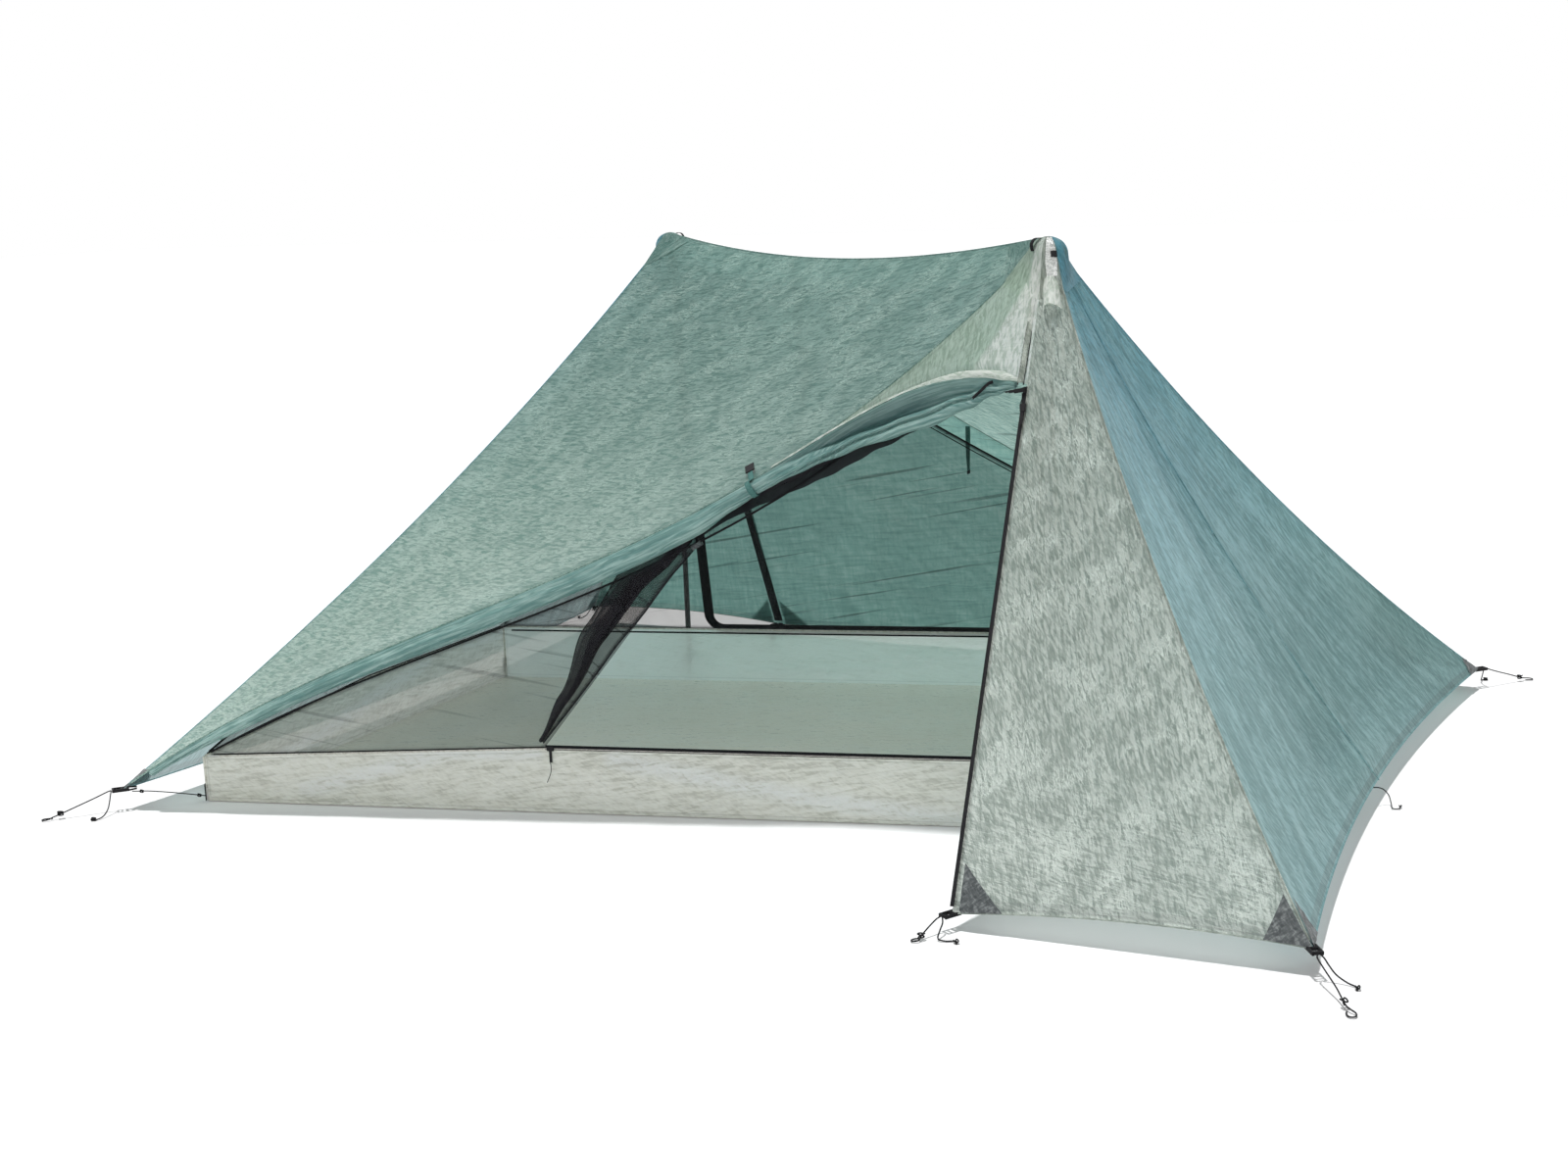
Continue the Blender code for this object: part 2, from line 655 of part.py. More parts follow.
def make_fly(materials, locks):
    near_top = sphere_cutter("near_top", PEAK + DOWN * CAP_RADIUS, CAP_RADIUS + GAP)
    far_top = sphere_cutter("far_top", FAR_PEAK + DOWN * CAP_RADIUS, CAP_RADIUS + GAP)
    flap_corner = sphere_cutter("flap_corner", FRONT_RIGHT, FLAP_CORNER_RADIUS)
    flap_foot = locks["door_front"]
    zip_inset = ZIP_WIDTH / 2 + GAP

    def sewn(name, side_a, side_b, base, material, rows, columns, insets, tools, first_share):
        return panel(name, side_a, side_b, base, materials[material], rows, columns, first_share,
                     FABRIC_THICKNESS, *insets, tools=tools)

    seams = (SEAM_INSET, SEAM_INSET, SEAM_INSET)
    hemmed = (SEAM_INSET, SEAM_INSET, 0)
    up_open_hip = stretch(open_hip, 1, 0)
    up_end_hip = stretch(turned_curve(end_hip, -1), 1, 0)
    up_closed_hip = stretch(turned_curve(closed_hip, -1), 1, 0)
    sewn("roof_front", up_open_hip, up_end_hip, ridge, "roof", 20, 9, seams,
         (near_top, far_top, locks["front_left"]), first_share=0.012)
    sewn("roof_rear", up_closed_hip, stretch(end_hip, 1, 0), stretch(ridge, 1, 0), "roof", 12, 9,
         seams, (near_top, far_top, locks["rear_right"]), first_share=0.012)
    for side, name, top, corners in (
            (1, "end_wall_right", near_top, ("front_right", "rear_right")),
            (-1, "end_wall_left", far_top, ("rear_left", "front_left"))):
        sewn(name, turned_curve(door_seam, side), turned_curve(end_hip, side),
             turned_curve(end_hem, side), "end", 11, 8, hemmed,
             (top, *[locks[corner] for corner in corners]), first_share=0.012)
    sewn("door_front_fixed", stretch(door_seam, 1, 0), straight(FRONT_RIGHT, ZIP_OPEN),
         straight(PEAK, ZIP_OPEN), "door", 10, 4, (SEAM_INSET, HINGE_SEAM_INSET, SEAM_INSET),
         (near_top, locks["front_right"]), first_share=0.04)
    sewn("door_front_flap", straight(ZIP_OPEN, DOOR_FOOT), straight(ZIP_OPEN, FRONT_RIGHT),
         short_hem, "door", 10, 8, (zip_inset, HINGE_SEAM_INSET, 0), (flap_corner, flap_foot),
         first_share=0.03)
    sewn("door_front_header", stretch(open_hip, HEADER_END_SHARE, 0),
         stretch(lip_curve, HEADER_END_SHARE, 0), straight(PEAK, ZIP_OPEN), "door", 10, 5, seams,
         (near_top,), first_share=0.25)
    sewn("door_rear_left", turned_curve(zip_line, -1), turned_curve(door_seam, -1),
         turned_curve(short_hem, -1), "door", 10, 6, (zip_inset, SEAM_INSET, 0),
         (far_top, locks["door_rear"], locks["rear_left"]), first_share=0.03)
    sewn("door_rear_right", turned_curve(zip_line, -1), turned_curve(closed_hip, -1),
         turned_curve(long_hem, -1), "door", 10, 10, (zip_inset, SEAM_INSET, 0),
         (far_top, locks["door_rear"], locks["rear_right"]), first_share=0.02)

    def roll_path(share):
        along = ROLL_START_SHARE + (ROLL_END_SHARE - ROLL_START_SHARE) * share
        return lip_curve(along) + DOWN * ROLL_CLEARANCE

    roll = folded_sweep("door_front_rolled", roll_path, True, ROLL_RADIUS, ROLL_PROFILE_SHARES,
                        ROLL_FOLDS, 38, 19, materials["roof"])
    cut(roll, locks["front_left"])
    return roll_path


def make_peak_caps(materials):
    for side, word in ((1, "near"), (-1, "far")):
        inner = CAP_RADIUS - CAP_THICKNESS
        rings = 6
        angles = [CAP_OPENING_ANGLE * step / rings for step in range(rings + 1)]
        outside = [(CAP_RADIUS * math.sin(angle), CAP_RADIUS * math.cos(angle)) for angle in angles]
        inside = [(inner * math.sin(angle), inner * math.cos(angle)) for angle in reversed(angles)]
        turned_body("peak_cap_" + word, outside + inside, turned(PEAK, side) + DOWN * CAP_RADIUS,
                    materials["roof"])


def make_poles(materials):
    """Each pole stands tip down under its peak, just outside the inner tent."""
    grip_top = PEAK_HEIGHT - CAP_THICKNESS - GAP
    grip_foot = grip_top - GRIP_LENGTH
    socket_top = grip_foot + GRIP_SOCKET_DEPTH
    bore = POLE_UPPER_RADIUS + GAP
    angles = [QUARTER_TURN * step / 4 for step in range(5)]
    dome = [(GRIP_RADIUS * math.sin(angle), grip_top - GRIP_RADIUS * (1 - math.cos(angle)))
            for angle in angles]
    grip_profile = dome + [(GRIP_FOOT_RADIUS, grip_foot), (bore, grip_foot), (bore, socket_top),
                           (0, socket_top)]
    sleeve_bore = POLE_LOWER_RADIUS + POLE_CLEARANCE
    split = POLE_SPLIT_HEIGHT
    collar_top = split + COLLAR_HEIGHT
    shaft_top = socket_top - GAP
    upper_profile = [(sleeve_bore, shaft_top), (POLE_UPPER_RADIUS, shaft_top),
                     (POLE_UPPER_RADIUS, collar_top), (COLLAR_RADIUS, collar_top),
                     (COLLAR_RADIUS, split), (sleeve_bore, split), (sleeve_bore, shaft_top)]
    basket_top = BASKET_HEIGHT + BASKET_THICKNESS
    lower_top = split + POLE_OVERLAP
    lower_profile = [(0, lower_top), (POLE_LOWER_RADIUS, lower_top), (POLE_LOWER_RADIUS, basket_top),
                     (BASKET_RADIUS, basket_top), (BASKET_RADIUS, BASKET_HEIGHT),
                     (FERRULE_RADIUS, FERRULE_HEIGHT), (TIP_RADIUS, TIP_HEIGHT), (TIP_RADIUS, 0),
                     (0, 0)]
    for side, word in ((1, "near"), (-1, "far")):
        foot = turned(PEAK, side)
        foot.z = 0
        turned_body("pole_grip_" + word, grip_profile, foot, materials["grip"])
        turned_body("pole_upper_" + word, upper_profile, foot, materials["shaft"])
        turned_body("pole_lower_" + word, lower_profile, foot, materials["tip"])
        facet = COLLAR_RADIUS + GAP
        lever = add_object("pole_lever_" + word,
                           box_mesh("pole_lever_" + word,
                                    (LEVER_WIDTH, LEVER_THICKNESS, LEVER_HEIGHT),
                                    Vector((LEVER_WIDTH / 2, 0, 0))), materials["black"])
        hinge = point_at(-LEVER_WIDTH / 2, -facet - LEVER_THICKNESS / 2, split + COLLAR_HEIGHT / 2)
        lever.location = foot + turned(hinge, side)
        lever.rotation_euler.z = 0 if side > 0 else math.pi
        bevel(lever, LEVER_THICKNESS / 4)


def make_floor(materials):
    """The waterproof tray: a skewed floor and four walls, open above."""
    far_low = turned(FLOOR_LEFT, -1)
    half = [(FLOOR_LEFT, side_rim(0)),
            (FLOOR_LEFT.lerp(FLOOR_RIGHT, TUB_RISE_SHARE), side_rim(TUB_RISE_SHARE)),
            (FLOOR_RIGHT, side_rim(1)),
            (FLOOR_RIGHT.lerp(far_low, 1 - TUB_END_RISE_SHARE), end_rim(1 - TUB_END_RISE_SHARE))]

    def build(work):
        low, high = [], []
        for side in (1, -1):
            for foot, rim in half:
                low.append(work.verts.new(turned(foot, side) + UP * TUB_WALL / 2))
                high.append(work.verts.new(turned(rim, side)))
        work.faces.new(list(reversed(low)))
        for place in range(len(low)):
            follow = (place + 1) % len(low)
            work.faces.new((low[place], low[follow], high[follow], high[place]))
        bmesh.ops.recalc_face_normals(work, faces=work.faces)

    floor = add_object("bathtub_floor", mesh_from(build, "bathtub_floor"), materials["floor"])
    solidify(floor, TUB_WALL)


def make_mesh_walls(materials):
    near_apex = sphere_cutter("near_apex", INNER_PEAK, INNER_APEX_RADIUS)
    far_apex = sphere_cutter("far_apex", INNER_FAR_PEAK, INNER_APEX_RADIUS)
    apexes = (near_apex, far_apex)

    def netting(name, side_a, side_b, base, rows, columns, insets, tools, first_share):
        return panel(name, side_a, side_b, base, materials["mesh"], rows, columns, first_share,
                     MESH_THICKNESS, *insets, tools=tools)

    seams = (MESH_SEAM_INSET, MESH_SEAM_INSET, MESH_SEAM_INSET)
    walled = (MESH_SEAM_INSET, MESH_SEAM_INSET, 0)
    netting("mesh_roof_front", stretch(inner_open_hip, 1, 0),
            stretch(turned_curve(inner_end_hip, -1), 1, 0), inner_ridge, 20, 7, seams, apexes,
            first_share=0.02)
    netting("mesh_roof_rear", stretch(turned_curve(inner_closed_hip, -1), 1, 0),
            stretch(inner_end_hip, 1, 0), stretch(inner_ridge, 1, 0), 12, 7, seams, apexes,
            first_share=0.02)
    for side, name, apex in ((1, "mesh_end_right", near_apex), (-1, "mesh_end_left", far_apex)):
        netting(name, turned_curve(inner_end_seam, side), turned_curve(inner_end_hip, side),
                turned_curve(tub_end_rim, side), 9, 6, walled, (apex,), first_share=0.02)
    netting("mesh_rear_wall", turned_curve(inner_closed_hip, -1), turned_curve(inner_end_seam, -1),
            turned_curve(tub_rim, -1), 9, 9, walled, (far_apex,), first_share=0.02)
    netting("mesh_front_side", stretch(tub_rim, 0, DOOR_FOOT_SHARE),
            stretch(inner_open_hip, 1, DOOR_TIE_SHARE), straight(door_hinge_foot, door_tie), 9, 5,
            (0, MESH_SEAM_INSET, BUNCH_ROOM), (), first_share=0.02)
    zip_inset = INNER_ZIP_RADIUS + GAP
    netting("mesh_front_end", straight(INNER_PEAK, door_corner), inner_end_seam,
            straight(door_corner, TUB_RIGHT), 8, 4, (zip_inset, MESH_SEAM_INSET, 0), (near_apex,),
            first_share=0.05)


def bunch_path(share):
    """The tied-back mesh door: up from the foot of its hinge to the tie, then along the hip."""
    def below_hip(hip_share, path_share):
        high = BUNCH_RADIUS * profile_value(BUNCH_PROFILE_SHARES, path_share, 1)
        fold = profile_value(BUNCH_PROFILE_SHARES, path_share, 3)
        return inner_open_hip(hip_share) + DOWN * (BUNCH_CLEARANCE + high * (1 + fold))

    start = door_hinge_foot + UP * (2 * INNER_ZIP_RADIUS + GAP + BUNCH_RADIUS / 2)
    tie = below_hip(DOOR_TIE_SHARE, BUNCH_TIE_SHARE)
    if share < BUNCH_TIE_SHARE:
        return bowed(start, tie, UP * BUNCH_RADIUS, DOWN * 2 * BUNCH_RADIUS)(share / BUNCH_TIE_SHARE)
    past_tie = (share - BUNCH_TIE_SHARE) / (1 - BUNCH_TIE_SHARE)
    return below_hip(DOOR_TIE_SHARE * (1 - past_tie * BUNCH_REACH_SHARE), share)


def make_bunched_door(materials):
    folded_sweep("mesh_front_door", bunch_path, False, BUNCH_RADIUS, BUNCH_PROFILE_SHARES,
                 BUNCH_FOLDS, 34, 16, materials["mesh"])


def zip_frame(side, share):
    """Place on the door's zip line, with its direction and the door's outward face."""
    top, foot, corner = (turned(point, side) for point in (ZIP_OPEN, DOOR_FOOT, FRONT_RIGHT))
    along = (foot - top).normalized()
    face = along.cross(corner - top).normalized()
    return turned(zip_line(share), side), along, face


def make_zips(materials):
    black = materials["black"]
    reach = (DOOR_FOOT - PEAK).length
    for side, name, first in ((1, "fly_zip_front", ZIP_OPEN_SHARE),
                              (-1, "fly_zip_rear", (2 * CAP_RADIUS + VENT_START) / reach)):
        start, along, face = zip_frame(side, first + ZIP_END_MARGIN / reach)
        end = turned(zip_line(1 - ZIP_END_MARGIN / reach), side)
        length = (end - start).length
        chain = add_object(name, box_mesh(name, (length, ZIP_WIDTH, ZIP_THICKNESS)), black)
        chain.matrix_world = frame_matrix(start.lerp(end, 0.5), along, face)
    for side, name, face, reach, lift in INNER_ZIPS:
        top = INNER_PEAK.z - TUB_HEIGHT
        bend_across = INNER_ZIP_BEND / (door_corner - door_hinge_foot).length * (reach[1] - reach[0])
        bend_down = INNER_ZIP_BEND / top
        low = 1 - INNER_ZIP_RADIUS / top
        places = [(reach[0], low)]
        for step in range(7):
            angle = QUARTER_TURN * step / 6
            places.append((reach[1] - bend_across * (1 - math.sin(angle)),
                           low - bend_down * (1 - math.cos(angle))))
        first = low - bend_down
        for step in range(1, INNER_ZIP_RISE_STEPS + 1):
            share = step / INNER_ZIP_RISE_STEPS
            places.append((reach[1], first + (INNER_ZIP_TOP_SHARE - first) * share))
        route = [turned(lifted(face, *place, lift), side) for place in places]
        tube(name, route, 2 * INNER_ZIP_RADIUS, black)


def make_slider(name, matrix, material, pull_turn):
    """A slider block with its pull, in a frame whose Z leaves the zip and X follows it."""
    size = (SLIDER_LENGTH, SLIDER_WIDTH, SLIDER_THICKNESS)
    slider = add_object(name, box_mesh(name, size, Vector((0, 0, SLIDER_THICKNESS / 2))), material)
    slider.matrix_world = matrix
    bevel(slider, SLIDER_BEVEL)
    tab = box_mesh(name + "_tab", (PULL_LENGTH, PULL_WIDTH, PULL_THICKNESS),
                   Vector((PULL_LENGTH / 2 - PULL_BITE, 0, 0)))
    tool = add_cutter(name + "_tab", tab)
    edge = Vector((math.cos(pull_turn) * SLIDER_LENGTH / 2, math.sin(pull_turn) * SLIDER_WIDTH / 2,
                   SLIDER_THICKNESS / 2))
    tool.matrix_world = matrix @ Matrix.Translation(edge) @ Matrix.Rotation(pull_turn, 4, "Z")
    unite(slider, tool)


def make_sliders(materials):
    black = materials["black"]
    lift = ZIP_THICKNESS / 2 + GAP
    reach = (DOOR_FOOT - PEAK).length
    at_top = ZIP_OPEN_SHARE + (ZIP_END_MARGIN + SLIDER_LENGTH) / reach
    at_foot = 1 - (ZIP_END_MARGIN + SLIDER_LENGTH + PULL_LENGTH) / reach
    for side, name, share in ((1, "fly_slider_front", at_top), (-1, "fly_slider_rear", at_foot)):
        place, along, face = zip_frame(side, share)
        make_slider(name, frame_matrix(place + face * lift, along, face), black, 0)
    wall = UP * (TUB_HEIGHT + GAP + INNER_ZIP_RADIUS)
    front_share = DOOR_FOOT_SHARE + SLIDER_LENGTH / (FLOOR_RIGHT - FLOOR_LEFT).length
    rear_share = DOOR_CORNER_SHARE - INNER_SLIDER_BACK_SHARE
    for share, (side, name, _, _, lift) in zip((front_share, rear_share), INNER_ZIPS):
        out = -FLOOR_INWARD
        place = FLOOR_LEFT.lerp(FLOOR_RIGHT, share) + wall + out * (lift + INNER_ZIP_RADIUS + GAP)
        matrix = frame_matrix(turned(place, side), turned(FLOOR_ALONG, side), turned(out, side))
        make_slider(name.replace("zip", "slider"), matrix, black, -QUARTER_TURN)


def vent_frame(door_face, down):
    """On the door's middle at one share down it: the place, its width, and across, down and out."""
    at_zip, at_seam = door_face(0, down), door_face(1, down)
    place = door_face(VENT_ACROSS_SHARE, down)
    across = (at_seam - at_zip).normalized()
    follow = (door_face(VENT_ACROSS_SHARE, down + TANGENT_STEP_SHARE) - place).normalized()
    out = follow.cross(across).normalized()
    return place, (at_seam - at_zip).length, across, follow, out


def make_vents(materials):
    """A stiffened hood over the vent below each peak, open at its foot, with a prop inside."""
    reach = (DOOR_FOOT - PEAK).length
    lift = FABRIC_THICKNESS / 2 + VENT_CLEARANCE
    heel = math.hypot(STRUT_SIZE / 2, STRUT_SIZE / 2 - STRUT_BEVEL)

    def hood_row(door_face, side, share):
        down = (VENT_START + VENT_LENGTH * share) / reach
        _, width, _, _, out = vent_frame(door_face, down)
        rise = VENT_RISE_TOP + (VENT_RISE_FOOT - VENT_RISE_TOP) * share
        flare = math.sin(QUARTER_TURN * min(1, 1.6 * share))
        spread = VENT_TOP_WIDTH_SHARE + (1 - VENT_TOP_WIDTH_SHARE) * flare
        half_share = VENT_HALF_WIDTH * spread / width
        row = []
        for place in range(9):
            angle = math.pi * place / 8
            spot = door_face(VENT_ACROSS_SHARE + half_share * math.cos(angle), down)
            row.append(turned(spot + out * (lift + rise * math.sin(angle)), side))
        return row

    for side, word, door_face in ((1, "near", open_door_face), (-1, "far", closed_door_face)):
        def build(work):
            rows = [[work.verts.new(spot) for spot in hood_row(door_face, side, step / 5)]
                    for step in range(6)]
            for above, below in zip(rows, rows[1:]):
                for place in range(8):
                    work.faces.new((above[place + 1], above[place], below[place],
                                    below[place + 1]))

        hood = add_object("vent_hood_" + word, mesh_from(build, "vent_hood_" + word),
                          materials["vent"])
        solidify(hood, FABRIC_THICKNESS)
        down = (VENT_START + VENT_LENGTH * STRUT_SHARE) / reach
        place, _, _, follow, out = vent_frame(door_face, down)
        pivot = place + out * (FABRIC_THICKNESS / 2 + GAP + heel)
        strut = add_object("vent_strut_" + word,
                           box_mesh("vent_strut_" + word, (STRUT_LENGTH, STRUT_SIZE, STRUT_SIZE),
                                    Vector((STRUT_LENGTH / 2 - STRUT_SIZE / 2, 0, 0))),
                           materials["black"])
        strut.matrix_world = frame_matrix(turned(pivot, side), turned(out, side),
                                          turned(follow, side))
        bevel(strut, STRUT_BEVEL)


def make_ties(materials, roll_path):
    """The ribbon round the rolled door with its tab on the roof, and the hanging one behind."""
    station = (TIE_SHARE - ROLL_START_SHARE) / (ROLL_END_SHARE - ROLL_START_SHARE)
    along, across, up = section_frame(roll_path, station)
    high = ROLL_RADIUS * profile_value(ROLL_PROFILE_SHARES, station, 1)
    deep = ROLL_RADIUS * profile_value(ROLL_PROFILE_SHARES, station, 2)
    swell = 1 + profile_value(ROLL_PROFILE_SHARES, station, 3)
    centre = roll_path(station) - up * high * swell
    hip = open_hip(TIE_SHARE)
    roof_face = (FAR_PEAK - hip).cross(FRONT_LEFT - hip).normalized()
    upslope = roof_face.cross(along).normalized()
    upslope = upslope if upslope.y > 0 else -upslope
    room = RIBBON_CLEARANCE + RIBBON_THICKNESS / 2
    over = FABRIC_THICKNESS / 2 + room
    out = across if across.y < 0 else -across
    points = [hip + upslope * RIBBON_LAP * share + roof_face * over * stand_off
              for share, stand_off in RIBBON_LAP_SHARES]
    for angle in RIBBON_ANGLES:
        points.append(centre + out * (deep * swell + room) * math.cos(angle)
                      + up * (high * swell + room) * math.sin(angle))
    strip("tie_back_front", points, along, RIBBON_WIDTH, RIBBON_THICKNESS, materials["ribbon"])
    heel = math.hypot(TAB_THICKNESS / 2, TAB_THICKNESS / 2 - TAB_BEVEL)
    pivot = hip + upslope * (RIBBON_LAP + GAP + heel) + roof_face * (over + TAB_CLEARANCE / 2)
    tab = add_object("tie_back_tab", box_mesh("tie_back_tab", (TAB_LENGTH, TAB_WIDTH, TAB_THICKNESS),
                                              Vector((TAB_LENGTH / 2 - TAB_THICKNESS / 2, 0, 0))),
                     materials["black"])
    tab.matrix_world = frame_matrix(pivot, upslope, roof_face)
    bevel(tab, TAB_BEVEL)
    rear_hip = turned(closed_hip(REAR_TIE_SHARE), -1)
    rear_along = section_frame(turned_curve(closed_hip, -1), REAR_TIE_SHARE)[0]
    flat = Vector((rear_along.x, rear_along.y, 0)).normalized()
    side_step = UP.cross(flat)
    top = rear_hip + DOWN * (RIBBON_WIDTH / 2 + GAP)
    hang = [top + (DOWN * drop + side_step * sway) * REAR_TIE_LENGTH
            for drop, sway in REAR_TIE_SHARES]
    strip("tie_back_rear", hang, flat, RIBBON_WIDTH, RIBBON_THICKNESS, materials["ribbon"])


# Guy lines: places in each tensioner's own frame, along the line, to its left, and height
LONG_GUY = (
    (0.072, 0.046, 0.0014), (0.060, 0.050, 0.0016), (0.046, 0.040, 0.004), (0.035, 0.026, 0.014),
    (0.0295, 0.016, 0.028), (0.0262, 0.009, 0.040), (0.0239, 0.003, 0.0468), (0.0239, -0.002, 0.0469),
    (0.033, -0.005, 0.0435), (0.06, -0.003, 0.034), (0.10, 0.0, 0.021), (0.135, 0.0, 0.009),
    (0.148, 0.003, 0.006), (0.158, 0.008, 0.0035), (0.167, 0.006, 0.0025), (0.170, 0.0, 0.0020),
    (0.166, -0.006, 0.0018), (0.156, -0.006, 0.0018), (0.148, -0.002, 0.0018),
)
SHORT_GUY = (
    (0.038, 0.058, 0.0014), (0.034, 0.046, 0.0014), (0.046, 0.036, 0.0014), (0.052, 0.024, 0.004),
    (0.039, 0.014, 0.013), (0.029, 0.009, 0.022), (0.0243, 0.003, 0.0295), (0.0246, -0.002, 0.0298),
    (0.032, -0.004, 0.0265), (0.05, -0.002, 0.018), (0.066, 0.0, 0.009), (0.074, 0.004, 0.006),
    (0.082, 0.008, 0.0035), (0.089, 0.005, 0.0025), (0.091, 0.0, 0.0020), (0.087, -0.005, 0.0018),
    (0.079, -0.005, 0.0018), (0.073, -0.001, 0.0018),
)
# Cords of the near half in the tent's own frame: from the tub's low corner to the fly's corner,
# and from the tub's other corner to a loose loop by the end hem
FLOOR_CORD = (
    (-1.1465, -0.8675, 0.012), (-1.17, -0.888, 0.019), (-1.20, -0.915, 0.028),
    (-1.235, -0.947, 0.037), (-1.262, -0.9705, 0.0405),
)
SIDE_CORD = (
    (1.1475, -0.300, 0.03), (1.16, -0.24, 0.034), (1.18, -0.15, 0.038), (1.203, -0.07, 0.040),
    (1.222, -0.045, 0.036), (1.236, -0.038, 0.022), (1.244, -0.05, 0.008), (1.25, -0.066, 0.0022),
    (1.262, -0.062, 0.0018), (1.262, -0.046, 0.0018),
)


def make_cords(materials):
    for name, place in CORNERS.items():
        matrix = lock_frame(*place)
        matrix.translation.z = 0
        route = SHORT_GUY if name.startswith("door") else LONG_GUY
        cord("guy_line_" + name, [matrix @ Vector(knot) for knot in route], GUY_DIAMETER,
             GUY_SPACING, materials["cord"])
    for side, name, route in ((1, "floor_cord_left", FLOOR_CORD), (-1, "floor_cord_right", FLOOR_CORD),
                              (1, "side_cord_right", SIDE_CORD), (-1, "side_cord_left", SIDE_CORD)):
        cord(name, [turned(Vector(knot), side) for knot in route], FINE_CORD_DIAMETER, FINE_SPACING,
             materials["cord"])


def make_tent():
    clear_scene()
    materials = make_materials()
    locks = make_tensioners(materials["black"])
    roll_path = make_fly(materials, locks)
    make_peak_caps(materials)
    make_poles(materials)
    make_floor(materials)
    make_mesh_walls(materials)
    make_bunched_door(materials)
    make_zips(materials)
    make_sliders(materials)
    make_vents(materials)
    make_ties(materials, roll_path)
    make_cords(materials)


make_tent()
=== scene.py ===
"""The looks of the two-peak trekking pole tent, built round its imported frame.

Metres, +Z up, the open door towards -Y. side 1 is the near half with the open door, side -1 the far
half, which is the near one after half a turn about Z.
"""

import math

import bpy
import numpy as np
from mathutils import Matrix, Vector


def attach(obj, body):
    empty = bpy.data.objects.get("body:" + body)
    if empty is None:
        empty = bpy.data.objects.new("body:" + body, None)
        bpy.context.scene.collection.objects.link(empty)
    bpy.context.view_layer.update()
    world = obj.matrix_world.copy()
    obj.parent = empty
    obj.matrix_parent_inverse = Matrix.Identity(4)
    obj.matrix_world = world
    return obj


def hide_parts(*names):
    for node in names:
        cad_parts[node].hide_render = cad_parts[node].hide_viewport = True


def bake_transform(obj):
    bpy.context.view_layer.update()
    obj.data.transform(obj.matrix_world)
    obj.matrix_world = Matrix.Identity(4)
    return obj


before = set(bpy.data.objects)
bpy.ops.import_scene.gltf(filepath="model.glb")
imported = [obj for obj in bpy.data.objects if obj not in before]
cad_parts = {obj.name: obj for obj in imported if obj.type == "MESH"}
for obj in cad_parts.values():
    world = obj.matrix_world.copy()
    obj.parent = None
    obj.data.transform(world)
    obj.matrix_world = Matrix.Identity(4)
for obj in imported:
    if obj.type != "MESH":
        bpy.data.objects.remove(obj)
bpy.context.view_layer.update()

# Fly, as the frame has it
FLY_LENGTH = 2.555
FLY_WIDTH = 1.964
HEM_HEIGHT = 0.047
ZIP_OPEN_SHARE = 0.23
TIE_SHARE = 0.29
REAR_TIE_SHARE = 0.375
CAP_RADIUS = 0.035

# Inner tent, as the frame has it
FLOOR_LENGTH = 2.29
FLOOR_WIDTH = 1.17
FLOOR_SKEW = 0.282
TUB_HEIGHT = 0.14
TUB_LOW_CORNER = 0.102
TUB_RISE_SHARE = 1 / 3
TUB_END_RISE_SHARE = 0.5
NET_LIFT = 0.0008
DOOR_CORNER_SHARE = 0.755
DOOR_TIE_SHARE = 0.385

# Trim
SEAM_RADIUS = 0.0016
HEM_RADIUS = 0.0014
RIM_RADIUS = 0.0022
BINDING_RADIUS = 0.0024
FINE_BINDING_RADIUS = 0.0016
GUY_DIAMETER = 0.0028
FINE_CORD_DIAMETER = 0.0024
PULL_CORD_DIAMETER = 0.0016

UP = np.array((0.0, 0.0, 1.0))
DOWN = -UP
NEAR_AND_FAR = ((1, "near"), (-1, "far"))
RIGHT_AND_LEFT = ((1, "right"), (-1, "left"))
FRONT_AND_REAR = ((1, "front"), (-1, "rear"))


# Curves and surfaces

def place(x, y, z):
    return np.array((x, y, z), float)


def unit(vector):
    return vector / np.maximum(np.linalg.norm(vector, axis=-1, keepdims=True), 1e-9)


def turned(points, side):
    """The points on this half of the tent: half a turn about Z for the far half."""
    return points * np.array((side, side, 1))


def on_side(shape, side):
    return lambda *shares: turned(shape(*shares), side)


def straight(start, end):
    return lambda share: start + np.asarray(share, float)[..., None] * (end - start)


def bowed(start, end, pull_start, pull_end):
    """A seam from start to end, drawn off its chord by a vector near each end."""
    def at(share):
        share = np.asarray(share, float)[..., None]
        rest = 1 - share
        return start + share * (end - start) + 3 * share * rest * (rest * pull_start + share * pull_end)
    return at


def stretch(curve, first, last):
    return lambda share: curve(first + (last - first) * np.asarray(share, float))


def ruled(side_a, side_b, base):
    """The surface between two seams that leave one corner, closed by a base edge."""
    def point(across, down):
        across, down = np.broadcast_arrays(np.asarray(across, float), np.asarray(down, float))
        flat = base(0) + across[..., None] * (base(1) - base(0))
        hem = base(across) - flat
        first, second = side_a(down), side_b(down)
        return first + across[..., None] * (second - first) + down[..., None] * hem
    return point


def between(top, foot):
    """The surface from one edge down to another."""
    return lambda across, down: top(across) + down[..., None] * (foot(across) - top(across))


def smooth_step(value, low, high):
    step = np.clip((value - low) / (high - low), 0, 1)
    return step * step * (3 - 2 * step)


def table_value(rows, share, column):
    """A smooth value between the rows of a table, whose first column rises from 0 to 1."""
    rows = np.array(rows, float)
    spot = np.clip(np.searchsorted(rows[:, 0], share) - 1, 0, len(rows) - 2)
    low, high = rows[spot], rows[spot + 1]
    step = smooth_step(share, low[..., 0], high[..., 0])
    return low[..., column] + (high[..., column] - low[..., column]) * step


